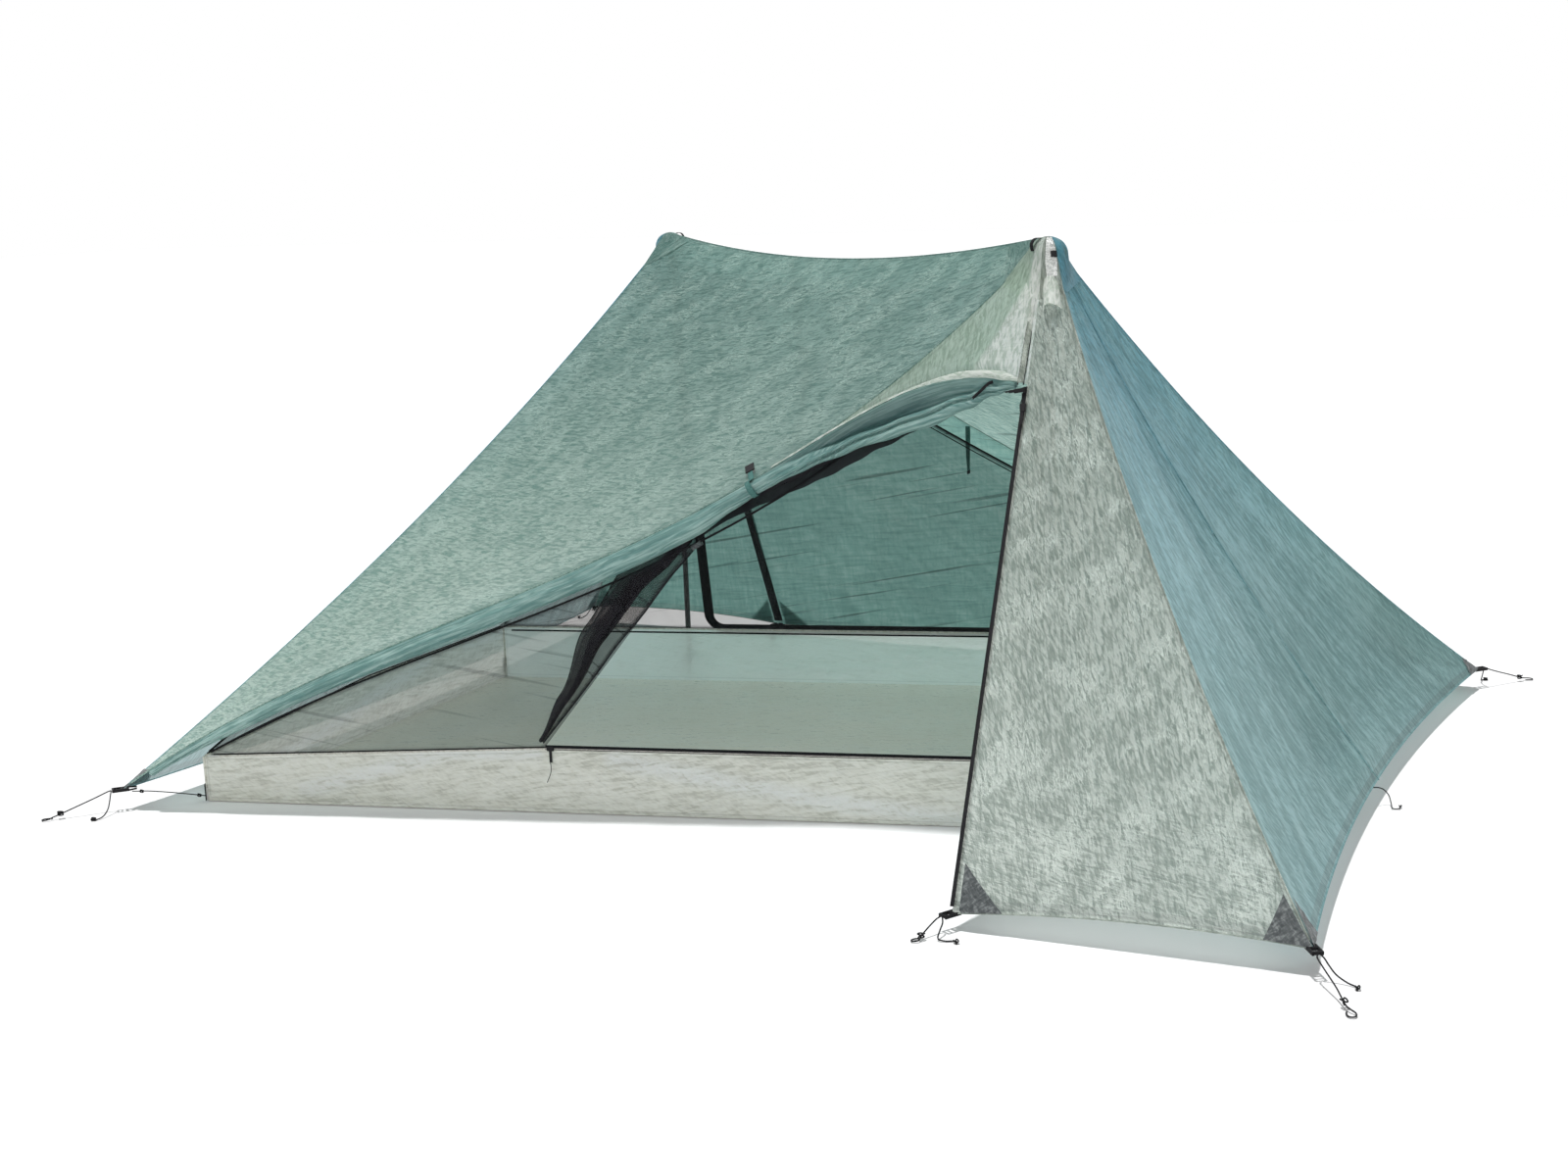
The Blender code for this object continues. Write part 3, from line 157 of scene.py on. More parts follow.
def relief(x, y, seed):
    """Smooth seeded relief from -1 to 1, with one hill or hollow to a unit."""
    size = 64
    heights = np.random.default_rng(seed).uniform(-1, 1, (size, size))
    column, row = np.floor(x).astype(int), np.floor(y).astype(int)
    step_x, step_y = smooth_step(x, column, column + 1), smooth_step(y, row, row + 1)

    def corner(right, above):
        return heights[(column + right) % size, (row + above) % size]

    low = corner(0, 0) * (1 - step_x) + corner(1, 0) * step_x
    high = corner(0, 1) * (1 - step_x) + corner(1, 1) * step_x
    return low * (1 - step_y) + high * step_y


def run_along(points, axis=0):
    """Metres from the first point along each line of points."""
    steps = np.linalg.norm(np.diff(points, axis=axis), axis=-1)
    return np.concatenate((0 * np.take(steps, [0], axis), np.cumsum(steps, axis=axis)), axis=axis)


def even_line(line, spacing):
    along = run_along(line)
    targets = np.linspace(0, along[-1], max(2, round(along[-1] / spacing)) + 1)
    return np.stack([np.interp(targets, along, line[:, axis]) for axis in range(3)], axis=1)


def smooth_line(points, spacing):
    """Even points along a smooth curve through a route's own points."""
    knots = np.array(points, float)
    ends = np.vstack((2 * knots[0] - knots[1], knots, 2 * knots[-1] - knots[-2]))
    fine = []
    for a, b, c, d in zip(ends, ends[1:], ends[2:], ends[3:]):
        for t in np.arange(24) / 24:
            fine.append(0.5 * (2 * b + (c - a) * t + (2 * a - 5 * b + 4 * c - d) * t * t
                               + (3 * b - a - 3 * c + d) * t * t * t))
    fine.append(knots[-1])
    return even_line(np.array(fine), spacing)


def flat_outline(points, spacing):
    """Even points along a smooth curve through the points of a flat section."""
    return smooth_line(np.column_stack((np.array(points), np.zeros(len(points)))), spacing)


# Named points and seams, as the frame has them
PEAK = place(0.66, -0.457, 1.17)
FAR_PEAK = turned(PEAK, -1)
FRONT_LEFT = place(-FLY_LENGTH / 2, -FLY_WIDTH / 2, HEM_HEIGHT)
FRONT_RIGHT = place(FLY_LENGTH / 2, -FLY_WIDTH / 2, HEM_HEIGHT)
REAR_RIGHT = turned(FRONT_LEFT, -1)
DOOR_FOOT = place(0.66, -1.0, 0.03)
ZIP_LENGTH = np.linalg.norm(DOOR_FOOT - PEAK)
ZIP_OPEN = PEAK + ZIP_OPEN_SHARE * (DOOR_FOOT - PEAK)

FLOOR_LEFT = place(-FLOOR_LENGTH / 2, -FLOOR_WIDTH / 2 - FLOOR_SKEW, 0)
FLOOR_RIGHT = place(FLOOR_LENGTH / 2, -FLOOR_WIDTH / 2 + FLOOR_SKEW, 0)
FLOOR_FAR = turned(FLOOR_LEFT, -1)
FLOOR_ALONG = unit(FLOOR_RIGHT - FLOOR_LEFT)
FLOOR_INWARD = np.cross(UP, FLOOR_ALONG)

floor_front = straight(FLOOR_LEFT, FLOOR_RIGHT)
floor_end = straight(FLOOR_RIGHT, FLOOR_FAR)


def rim_rise(share, rise_share):
    height = TUB_LOW_CORNER + (TUB_HEIGHT - TUB_LOW_CORNER) * np.minimum(1, share / rise_share)
    return height[..., None] * UP


def side_rim(share):
    """Upper edge of the near long wall, from its low corner."""
    share = np.asarray(share, float)
    return floor_front(share) + rim_rise(share, TUB_RISE_SHARE)


def end_rim(share):
    """Upper edge of the right end wall, from the near long wall to the far low corner."""
    share = np.asarray(share, float)
    return floor_end(share) + rim_rise(1 - share, TUB_END_RISE_SHARE)


def tub_rim(share):
    return side_rim(share) + NET_LIFT * UP


def tub_end_rim(share):
    return end_rim(share) + NET_LIFT * UP


TUB_LEFT = tub_rim(0)
TUB_RIGHT = tub_rim(1)
INNER_PEAK = PEAK + FLOOR_INWARD * 0.035 + DOWN * 0.07

ridge = bowed(PEAK, FAR_PEAK, DOWN * 0.07, DOWN * 0.07)
open_hip = bowed(PEAK, FRONT_LEFT, DOWN * 0.323, UP * 0.075)
closed_hip = bowed(PEAK, FRONT_LEFT, DOWN * 0.11, DOWN * 0.11)
end_hip = bowed(PEAK, REAR_RIGHT, DOWN * 0.10, DOWN * 0.075)
door_seam = bowed(PEAK, FRONT_RIGHT, place(-0.04, 0, 0), place(-0.04, 0, 0))
end_hem = bowed(FRONT_RIGHT, REAR_RIGHT, place(-0.088, 0, 0), place(-0.088, 0, 0))
zip_line = straight(PEAK, DOOR_FOOT)
short_hem = bowed(DOOR_FOOT, FRONT_RIGHT, UP * 0.02, UP * 0.02)
long_hem = bowed(DOOR_FOOT, FRONT_LEFT, place(0, 0.02, 0), UP * 0.02)

inner_ridge = bowed(INNER_PEAK, turned(INNER_PEAK, -1), DOWN * 0.07, DOWN * 0.07)
inner_open_hip = bowed(INNER_PEAK, TUB_LEFT, DOWN * 0.31, DOWN * 0)
inner_closed_hip = bowed(INNER_PEAK, TUB_LEFT, DOWN * 0.085, DOWN * 0.085)
inner_end_hip = bowed(INNER_PEAK, turned(TUB_LEFT, -1), DOWN * 0.085, DOWN * 0.085)
inner_end_seam = straight(INNER_PEAK, TUB_RIGHT)
door_hinge_foot = tub_rim(TUB_RISE_SHARE)
door_corner = tub_rim(DOOR_CORNER_SHARE)
door_tie = inner_open_hip(DOOR_TIE_SHARE)

roof_front = ruled(stretch(open_hip, 1, 0), stretch(on_side(end_hip, -1), 1, 0), ridge)
roof_rear = ruled(stretch(on_side(closed_hip, -1), 1, 0), stretch(end_hip, 1, 0), stretch(ridge, 1, 0))
end_wall = ruled(door_seam, end_hip, end_hem)
door_right = ruled(zip_line, door_seam, short_hem)
door_left = ruled(zip_line, closed_hip, long_hem)


def lip_curve(share):
    """Lower edge of the header: from the open end of the zip it rises into the hip."""
    fade = np.maximum(0, 1 - np.asarray(share, float) / TIE_SHARE) ** 3
    return open_hip(share) + fade[..., None] * (ZIP_OPEN - PEAK)


# Materials

class Value:
    """An output of a node, which takes sums and products."""

    def __init__(self, nodes, socket):
        self.nodes = nodes
        self.socket = socket

    def maths(self, operation, other=0.0):
        return self.nodes("Math", {0: self, 1: other}, operation=operation)

    def __add__(self, other):
        return self.maths("ADD", other)

    def __sub__(self, other):
        return self.maths("SUBTRACT", other)

    def __mul__(self, other):
        return self.maths("MULTIPLY", other)

    def __abs__(self):
        return self.maths("ABSOLUTE")

    def sine(self):
        return self.maths("SINE")

    def most(self, other):
        return self.maths("MAXIMUM", other)


class Nodes:
    """The node tree of a material or world. A call adds a node and gives one of its outputs."""

    def __init__(self, holder):
        holder.use_nodes = True
        self.tree = holder.node_tree
        self.tree.nodes.clear()

    def __call__(self, kind, inputs=None, output=0, **settings):
        made = self.tree.nodes.new("ShaderNode" + kind)
        for key, value in settings.items():
            setattr(made, key, value)
        for key, value in (inputs or {}).items():
            socket = made.inputs[key]
            if isinstance(value, Value):
                self.tree.links.new(value.socket, socket)
            else:
                socket.default_value = (*value, 1) if socket.type == "RGBA" else value
        return Value(self, made.outputs[output])

    def finish(self, shader, kind="Material"):
        out = self.tree.nodes.new("ShaderNodeOutput" + kind)
        self.tree.links.new(shader.socket, out.inputs["Surface"])

    def vectors(self, operation, first, second, output=0):
        return self("VectorMath", {0: first, 1: second}, output, operation=operation)

    def part(self, vector, axis):
        return self("SeparateXYZ", {0: vector}, axis)

    def attribute(self, name, output="Vector"):
        return self("Attribute", output=output, attribute_name=name)

    def flat(self):
        """Metres along and up the cut cloth."""
        return self.vectors("MULTIPLY", self.attribute("cut"), (1, 1, 0))

    def seam(self):
        """Metres to the nearest seam."""
        return self.part(self.attribute("cut"), "Z")

    def spot(self):
        return self("TexCoord", output="Object")

    def noise(self, vector, scale, detail, roughness=0.5, distortion=0.0):
        return self("TexNoise", {"Vector": vector, "Scale": scale, "Detail": detail,
                                 "Roughness": roughness, "Distortion": distortion}, "Fac")

    def grain(self, vector, angle, length, width, detail=2.0, distortion=0.4):
        """Noise drawn out along one direction, with cells of this length and width."""
        mapped = self("Mapping", {"Vector": vector, "Rotation": (0, 0, math.radians(angle)),
                                  "Scale": (length, width, 1)}, vector_type="TEXTURE")
        return self.noise(mapped, 1.0, detail, distortion=distortion)

    def span(self, value, low, high, to_low=0.0, to_high=1.0, kind="SMOOTHSTEP"):
        return self("MapRange", {"Value": value, "From Min": low, "From Max": high,
                                 "To Min": to_low, "To Max": to_high}, interpolation_type=kind)

    def ramp(self, value, *stops):
        made = self("ValToRGB", {"Fac": value})
        elements = made.socket.node.color_ramp.elements
        while len(elements) < len(stops):
            elements.new(0.5)
        for element, (position, colour) in zip(elements, stops):
            element.position = position
            element.color = (*colour, 1)
        return made

    def mix(self, share, first, second, kind="MIX"):
        return self("Mix", {0: share, 6: first, 7: second}, 2, data_type="RGBA", blend_type=kind)

    def tinted(self, colour, tint):
        return self.mix(1.0, colour, tint, "MULTIPLY")

    def bump(self, height, distance, strength):
        return self("Bump", {"Height": height, "Strength": strength, "Distance": distance})

    def coat(self, colour, roughness, shine=0.5, **others):
        """A shader of this shine. The others are inputs such as Metallic and Normal."""
        return self("BsdfPrincipled", {"Base Color": colour, "Roughness": roughness,
                                       "Specular IOR Level": shine, **others})

    def bare(self, tint):
        return self("BsdfTransparent", {"Color": tint})

    def layers(self, share, below, above):
        return self("MixShader", {0: share, 1: below, 2: above})


materials = {}


def new_material(name, ending=""):
    materials[name] = bpy.data.materials.new(name + ending)
    return Nodes(materials[name])


def bright_band(nodes, flat, start, end, width):
    """1 on a line across the cloth, fading to 0 at this distance from it."""
    start, end = np.array((*start, 0.0)), np.array((*end, 0.0))
    step = end - start
    local = nodes.vectors("SUBTRACT", flat, start)
    share = nodes("Clamp", {0: nodes.vectors("DOT_PRODUCT", local, step / (step @ step), "Value")})
    near = nodes("VectorMath", {0: step, "Scale": share}, operation="SCALE")
    return nodes.span(nodes.vectors("DISTANCE", local, near, "Value"), 0.0, width, 1.0, 0.0)


def film(name, deep, middle, pale, strokes, rays=0.3, glow=0.46, clear=0.05, roughness=0.42,
         relief_height=0.0016, hem_tone=0.72, painted_glint=0.3, top=None, highlight_bands=(), contrast=2.2,
         veil=0.4, shade_tone=(0.55, 0.62, 0.60)):
    """Crinkled laminate film. Strokes are (angle, length, width, weight) of its creases, with the two
    heights up the cloth between which they fade in, if they do. Its colour is painted lighter and
    darker with the creases' height, as much as contrast says: painted light and shade of the creases.
    A top tint darkens and tints the cloth towards the peaks: painted shade. Painted_glint is the
    strength of pale highlights painted on thin lines along the creases, and highlight_bands are
    (start, end, width, weight) of lines of painted highlight, where the relief is also raised. The
    veil is how much whiter light is that comes through, and shade_tone tints the painted shade."""
    nodes = new_material(name, "_film")
    flat = nodes.flat()
    total, crest = 0.0, 0.0
    for angle, length, width, weight, *heights in strokes:
        value = nodes.grain(flat, angle, length, width, distortion=0.8) - 0.5
        line = nodes.span(abs(value), 0.0, 0.055, weight, 0.0)
        value = value * weight
        if heights:
            fade = nodes.span(nodes.part(flat, "Y"), *heights)
            value, line = value * fade, line * fade
        total, crest = value + total, line.most(crest)
    share = nodes.attribute("share")
    streak = nodes.noise(nodes.vectors("MULTIPLY", share, (55, 3.5, 1)), 1.0, 3.0, 0.6)
    height = total + (streak - 0.5) * rays
    cloud = nodes.grain(flat, 20, 0.35, 0.2, detail=3.0)
    # The creases' height lightens and darkens the colour: painted light and shade of the creases.
    tone = height * contrast + (cloud - 0.5) * 0.5 + 0.5
    colour = nodes.ramp(tone, (0.22, deep), (0.5, middle), (0.82, pale))
    # Painted shade: the cloth is darker and tinted towards the peaks.
    if top:
        rise = nodes.part(nodes.spot(), "Z")
        colour = nodes.mix(nodes.span(rise, 0.25, 1.1), colour, nodes.tinted(colour, top))
    # Painted highlights: pale streaks on thin lines along the creases, and along the highlight bands.
    lively = nodes.span(nodes.grain(flat, 50, 0.11, 0.06), 0.42, 0.62, 0.25, 1.0)
    painted_highlight = crest * lively * painted_glint
    raised = 0.0
    for start, end, width, weight in highlight_bands:
        band = bright_band(nodes, flat, start, end, width)
        raised = band.most(raised)
        painted_highlight = painted_highlight.most(band * nodes.span(height, -0.16, 0.06, 0.3, weight))
    colour = nodes.mix(painted_highlight, colour, tuple(min(0.97, 1.25 * value + 0.12) for value in pale))
    hem = nodes.span(abs(nodes.part(share, "Z") - 0.0125), 0.0075, 0.0085, hem_tone, 1.0)
    stitch = nodes.span(abs(nodes.seam() - 0.0075), 0.0007, 0.0016, 0.80, 1.0)
    colour = nodes.tinted(colour, hem * stitch)
    # Painted shade, as much as each point's layer says, tinted by shade_tone.
    folded = nodes.attribute("folded", "Fac")
    colour = nodes.mix(folded, colour, nodes.tinted(colour, shade_tone))
    if highlight_bands:
        height = height * (raised * 1.5 + 1.0)
    bump = nodes.bump(height, relief_height, 1.0)
    gloss = nodes.span(height, -0.3, 0.35, roughness + 0.12, roughness - 0.12, "LINEAR")
    through = nodes.mix(veil, colour, (1, 1, 1))
    lit = nodes("BsdfTranslucent", {"Color": through, "Normal": bump})
    cloth = nodes.layers(glow, nodes.coat(colour, gloss, 0.45, Normal=bump), lit)
    nodes.finish(nodes.layers(clear, cloth, nodes.bare(pale)))


def netting(name, cover, colour=(0.012, 0.013, 0.015)):
    """Insect mesh, seen through: cover is how much of what is behind one layer hides."""
    nodes = new_material(name)
    flat = nodes.flat()
    cloud = nodes.grain(flat, 35, 0.12, 0.05, detail=3.0)
    fold = nodes.span(nodes.grain(flat, -10, 0.5, 0.012, detail=1.0), 0.62, 0.72, 0.0, 0.25)
    thick = nodes.span(nodes.seam(), 0.0, 0.012, 1.0, 0.0)
    share = cloud * 0.16 + (cover - 0.08) + (thick * 0.45 + fold)
    tint = nodes.ramp(cloud, (0.3, colour), (0.7, tuple(2.2 * value for value in colour)))
    nodes.finish(nodes.layers(share.maths("MINIMUM", 0.96), nodes.bare((0.88, 0.87, 0.86)),
                              nodes.coat(tint, 0.7, 0.2)))


def woven(name, dark, light, glow=0.0, shine=0.35):
    """Webbing, ribbon or tape: crossing yarns along and across the strip."""
    nodes = new_material(name)
    flat = nodes.flat()
    pitch = 0.0011
    mapped = nodes("Mapping", {"Vector": flat, "Scale": (1 / pitch, 1 / pitch, 1)})
    warp, weft = ((nodes.part(mapped, axis) * math.tau).sine() for axis in "XY")
    yarn = warp * weft
    colour = nodes.ramp(yarn * 0.2 + nodes.grain(flat, 0, 0.006, 0.0008), (0.3, dark), (0.75, light))
    shader = nodes.coat(colour, 0.7, shine, Normal=nodes.bump(yarn, 0.0003, 0.7))
    if glow:
        shader = nodes.layers(glow, shader, nodes("BsdfTranslucent", {"Color": colour}))
    nodes.finish(shader)


def braided(name, dark, light, radius):
    """Braided cord: two sets of strands winding opposite ways round it."""
    nodes = new_material(name)
    flat = nodes.flat()
    around, along = nodes.part(flat, "X") * (4 / radius), nodes.part(flat, "Y") * (3.2 / radius)
    strand = (around + along).sine().most((around - along).sine())
    tone = strand * 0.3 + nodes.grain(flat, 90, 0.01, 0.001) * 0.7
    colour = nodes.ramp(tone, (0.15, dark), (0.7, light))
    nodes.finish(nodes.coat(colour, 0.72, 0.15, Normal=nodes.bump(strand, 0.0003, 0.8)))


def moulded(name, dark, light, roughness, metallic=0.0, scale=260.0, relief_height=0.0002, coat=0.0,
            shine=0.5):
    """Moulded plastic, rubber or metal: a fine even grain with a little wear."""
    nodes = new_material(name)
    fine, wear = nodes.noise(nodes.spot(), scale, 4.0), nodes.noise(nodes.spot(), 38.0, 5.0)
    colour = nodes.ramp(fine * 0.5 + wear * 0.5, (0.35, dark), (0.68, light))
    rough = nodes.span(wear, 0.3, 0.7, roughness - 0.08, roughness + 0.1, "LINEAR")
    nodes.finish(nodes.coat(colour, rough, shine, Normal=nodes.bump(fine, relief_height, 0.5),
                            **{"Metallic": metallic, "Coat Weight": coat}))


def cork(name):
    nodes = new_material(name)
    cells = nodes("TexVoronoi", {"Vector": nodes.spot(), "Scale": 420.0}, "Distance", feature="F1")
    tone = cells * 0.5 + nodes.noise(nodes.spot(), 150.0, 6.0) * 0.7
    colour = nodes.ramp(tone, (0.3, (0.12, 0.07, 0.035)), (0.5, (0.36, 0.22, 0.11)),
                        (0.8, (0.52, 0.36, 0.21)))
    nodes.finish(nodes.coat(colour, 0.82, Normal=nodes.bump(tone, 0.0006, 0.6)))


def clear_film(name):
    """Stiff clear window film with hard creases."""
    nodes = new_material(name)
    flat = nodes.flat()
    edge = nodes("TexVoronoi", {"Vector": flat, "Scale": 130.0}, "Distance", feature="DISTANCE_TO_EDGE")
    cloud = nodes.grain(flat, 30, 0.02, 0.008, detail=3.0)
    tone = nodes.span(edge, 0.0, 0.12, 1.0, 0.0) * 0.5 + cloud * 0.6
    colour = nodes.ramp(tone, (0.2, (0.42, 0.45, 0.43)), (0.45, (0.78, 0.80, 0.77)),
                        (0.7, (0.96, 0.97, 0.95)))
    shiny = nodes.coat(colour, 0.16, 0.7, Normal=nodes.bump(tone, 0.0015, 0.9))
    nodes.finish(nodes.layers(0.2, shiny, nodes.bare((0.85, 0.9, 0.87))))


def zip_chain(name):
    """Nylon coil in its tape: teeth across a black ridge."""
    nodes = new_material(name)
    tooth = (nodes.part(nodes.flat(), "Y") * (math.tau / 0.0022)).sine()
    colour = nodes.ramp(tooth * 0.5 + 0.5, (0.2, (0.004, 0.004, 0.005)), (0.8, (0.018, 0.019, 0.022)))
    nodes.finish(nodes.coat(colour, 0.6, 0.2, Normal=nodes.bump(tooth, 0.0005, 0.8)))


ROOF_STROKES = ((13, 0.034, 0.0065, 1.0), (30, 0.020, 0.005, 0.6))
DOOR_STROKES = ((108, 0.030, 0.0058, 0.9), (130, 0.018, 0.0045, 0.6),
                (168, 0.034, 0.006, 0.9, -0.25, -0.55))
WALL_STROKES = ((115, 0.040, 0.0062, 0.7), (128, 0.022, 0.005, 0.5))
REAR_STROKES = ((174, 0.10, 0.012, 0.5), (100, 0.05, 0.010, 0.3))
TUB_STROKES = ((8, 0.06, 0.008, 0.6), (-25, 0.02, 0.006, 0.4))
# Lines of painted highlight on the tub's walls: (start, end, width, weight) in metres along and up a wall
# from its middle
TUB_HIGHLIGHT_BANDS = (((-0.94, -0.03), (-0.63, 0.055), 0.034, 1.0), ((-0.63, 0.055), (-0.41, 0.06), 0.026, 0.9),
             ((-0.24, 0.055), (0.14, -0.013), 0.036, 1.0), ((0.14, -0.013), (0.51, -0.055), 0.036, 1.0))
BLACK = (0.004, 0.004, 0.005)

# The fly is one cloth and the bathtub another. The films roof to roll are lit and shaded copies of the
# fly's cloth, and tub, tub_inside and tub_floor of the bathtub's, each with colours painted for the light
# on its part of the tent: painted light and shade.
film("roof", (0.15, 0.31, 0.265), (0.275, 0.42, 0.37), (0.50, 0.65, 0.575), ROOF_STROKES,
     top=(0.35, 0.51, 0.52), contrast=2.0, painted_glint=0.5, relief_height=0.0024)
film("roof_rear", (0.15, 0.34, 0.30), (0.27, 0.50, 0.45), (0.47, 0.71, 0.64), ROOF_STROKES,
     veil=0.15, contrast=1.6, painted_glint=0.3)
film("end", (0.095, 0.265, 0.285), (0.17, 0.385, 0.41), (0.34, 0.59, 0.62), WALL_STROKES, rays=0.7,
     top=(0.40, 0.72, 0.88), contrast=2.3, painted_glint=0.5, relief_height=0.0028)
film("door", (0.235, 0.285, 0.245), (0.355, 0.405, 0.36), (0.60, 0.65, 0.595), DOOR_STROKES, glow=0.5,
     top=(0.80, 0.80, 0.77), contrast=2.5, painted_glint=1.0, relief_height=0.0038, hem_tone=0.8)
film("header", (0.50, 0.58, 0.50), (0.70, 0.76, 0.695), (0.90, 0.93, 0.88),
     ((95, 0.03, 0.006, 1.0), (75, 0.018, 0.005, 0.7)), glow=0.5, contrast=2.6, painted_glint=0.9,
     relief_height=0.0032, shade_tone=(0.56, 0.68, 0.60))
film("rear", (0.18, 0.42, 0.38), (0.25, 0.53, 0.475), (0.40, 0.70, 0.63), REAR_STROKES, glow=0.5,
     veil=0.06, hem_tone=0.8, contrast=1.8, painted_glint=0.2)
film("roll", (0.115, 0.275, 0.26), (0.21, 0.385, 0.36), (0.46, 0.64, 0.60), ((90, 0.05, 0.006, 0.7),),
     rays=0.9, shade_tone=(0.5, 0.58, 0.62))
film("tub", (0.60, 0.58, 0.52), (0.84, 0.82, 0.75), (0.97, 0.955, 0.90), TUB_STROKES, rays=0.0,
     glow=0.4, clear=0.14, roughness=0.24, hem_tone=0.85, highlight_bands=TUB_HIGHLIGHT_BANDS, contrast=2.4, painted_glint=0.6,
     relief_height=0.003)
film("tub_inside", (0.80, 0.80, 0.76), (0.92, 0.92, 0.88), (0.97, 0.97, 0.95), TUB_STROKES, rays=0.0,
     glow=0.5, clear=0.12, roughness=0.26, hem_tone=0.85, contrast=1.6, painted_glint=0.4,
     relief_height=0.003, veil=0.7)
film("tub_floor", (0.84, 0.79, 0.70), (0.93, 0.88, 0.79), (0.97, 0.94, 0.88), TUB_STROKES, rays=0.0,
     glow=0.0, clear=0.0, roughness=0.3, contrast=1.4)
film("patch", (0.03, 0.037, 0.04), (0.075, 0.085, 0.088), (0.20, 0.22, 0.22),
     ((40, 0.02, 0.006, 0.9), (130, 0.015, 0.005, 0.7)), rays=0.0, glow=0.1, clear=0.0, painted_glint=0.0,
     contrast=1.6)
netting("net", 0.17)
# The rear wall's net has more cover than the rest: partly the netting itself, partly painted shade over
# the lit floor seen through it.
netting("rear_net", 0.5)
netting("bunched_net", 0.5, (0.006, 0.006, 0.008))
woven("binding_tape", BLACK, (0.016, 0.016, 0.018), shine=0.15)
woven("ribbon_green", (0.05, 0.17, 0.155), (0.16, 0.36, 0.33), glow=0.3)
clear_film("vent_window")
braided("guy_braid", BLACK, (0.018, 0.018, 0.02), GUY_DIAMETER / 2)
braided("fine_braid", BLACK, (0.02, 0.02, 0.022), FINE_CORD_DIAMETER / 2)
moulded("acetal_black", BLACK, (0.014, 0.014, 0.016), 0.6, shine=0.2)
zip_chain("zip_coil")
cork("cork")
moulded("shaft_anodised", (0.03, 0.032, 0.036), (0.06, 0.062, 0.068), 0.3, 0.85, 500.0, 0.00005, 0.2)
moulded("lower_shaft_anodised", (0.15, 0.155, 0.16), (0.25, 0.255, 0.26), 0.34, 0.5, 420.0, 0.00005)


# Pieces and how they ride

FOLD_ALONG = unit(ZIP_OPEN - FRONT_RIGHT)
FOLD_ACROSS = unit(np.cross(FOLD_ALONG, np.cross(DOOR_FOOT - ZIP_OPEN, FOLD_ALONG)))
FOLD_REACH = 0.03


def ride(obj, body):
    """The piece moves with a body. For "door", the right door panel, it is only baked where it stands; it
    neither moves nor bends at its fold.
    """
    if body == "door":
        FRONT_RIGHT - FOLD_ACROSS * FOLD_REACH
        FRONT_RIGHT + FOLD_ACROSS * FOLD_REACH
        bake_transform(obj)
    else:
        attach(obj, body)


def make_mesh(name, verts, faces, material, body="shelter", replaced=(), flat=False, **layers):
    """A piece of the visual model. Layers are its cut, share and painted shade values, point by point."""
    mesh = bpy.data.meshes.new(name)
    mesh.from_pydata(np.asarray(verts, float).reshape(-1, 3).tolist(), [], faces)
    mesh.materials.append(materials[material])
    if not flat:
        mesh.polygons.foreach_set("use_smooth", np.ones(len(mesh.polygons), bool))
    for key, values in layers.items():
        kind, field = ("FLOAT", "value") if key == "folded" else ("FLOAT_VECTOR", "vector")
        layer = mesh.attributes.new(key, kind, "POINT")
        layer.data.foreach_set(field, np.asarray(values, np.float32).ravel())
    mesh.validate()
    obj = bpy.data.objects.new(name, mesh)
    bpy.context.scene.collection.objects.link(obj)
    if replaced:
        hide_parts(*replaced)
    if body:
        ride(obj, body)
    return obj


def grid_faces(rows, columns, closed=False):
    index = np.arange(rows * columns).reshape(rows, columns)
    if closed:
        index = np.hstack((index, index[:, :1]))
    quads = np.stack((index[:-1, :-1], index[:-1, 1:], index[1:, 1:], index[1:, :-1]), axis=-1)
    return quads.reshape(-1, 4).tolist()


def cloth(name, points, material, x, y, seam=0.05, share=None, **others):
    """An open sheet through rows of points, with its cut coordinates."""
    cut = np.stack(np.broadcast_arrays(x, y, seam), axis=-1)
    return make_mesh(name, points, grid_faces(*points.shape[:2]), material, cut=cut,
                     share=np.ones_like(cut) if share is None else share, **others)


def closed_skin(name, rings, material, **others):
    """A closed tube with capped ends through rings of points."""
    rows, columns = rings.shape[:2]
    faces = grid_faces(rows, columns, closed=True)
    faces.append(list(range(columns))[::-1])
    faces.append(list(range((rows - 1) * columns, rows * columns)))
    cut = np.stack(np.broadcast_arrays(run_along(rings, 1), run_along(rings.mean(axis=1))[:, None], 1.0),
                   axis=-1)
    return make_mesh(name, rings, faces, material, cut=cut, share=np.ones_like(cut), **others)


def tube(name, line, radius, material, sides=8, **others):
    """A round cord or piping along a line. The radius may differ from point to point."""
    along = unit(np.gradient(line, axis=0))
    across = [unit(np.cross(along[0], UP if abs(along[0][2]) < 0.9 else place(1, 0, 0)))]
    for direction in along[1:]:
        across.append(unit(across[-1] - direction * (across[-1] @ direction)))
    across = np.array(across)
    up = np.cross(along, across)
    angles = np.arange(sides) * math.tau / sides
    radius = np.broadcast_to(np.asarray(radius, float), len(line))[:, None, None]
    rings = line[:, None] + radius * (np.cos(angles)[:, None] * across[:, None]
                                      + np.sin(angles)[:, None] * up[:, None])
    return closed_skin(name, rings, material, **others)


def ribbon_strip(name, line, across, width, thickness, material, **others):
    """A flat tape along a line, its width along the given direction or directions."""
    along = unit(np.gradient(line, axis=0))
    across = np.broadcast_to(across, line.shape)
    across = unit(across - along * (across * along).sum(axis=-1, keepdims=True))
    face = np.cross(along, across)
    outline = ((0.5, 0.0), (0.46, 0.5), (-0.46, 0.5), (-0.5, 0.0), (-0.46, -0.5), (0.46, -0.5))
    width = np.broadcast_to(np.asarray(width, float), len(line))[:, None]
    rings = np.stack([line + across * width * a + face * thickness * b for a, b in outline], axis=1)
    return closed_skin(name, rings, material, **others)


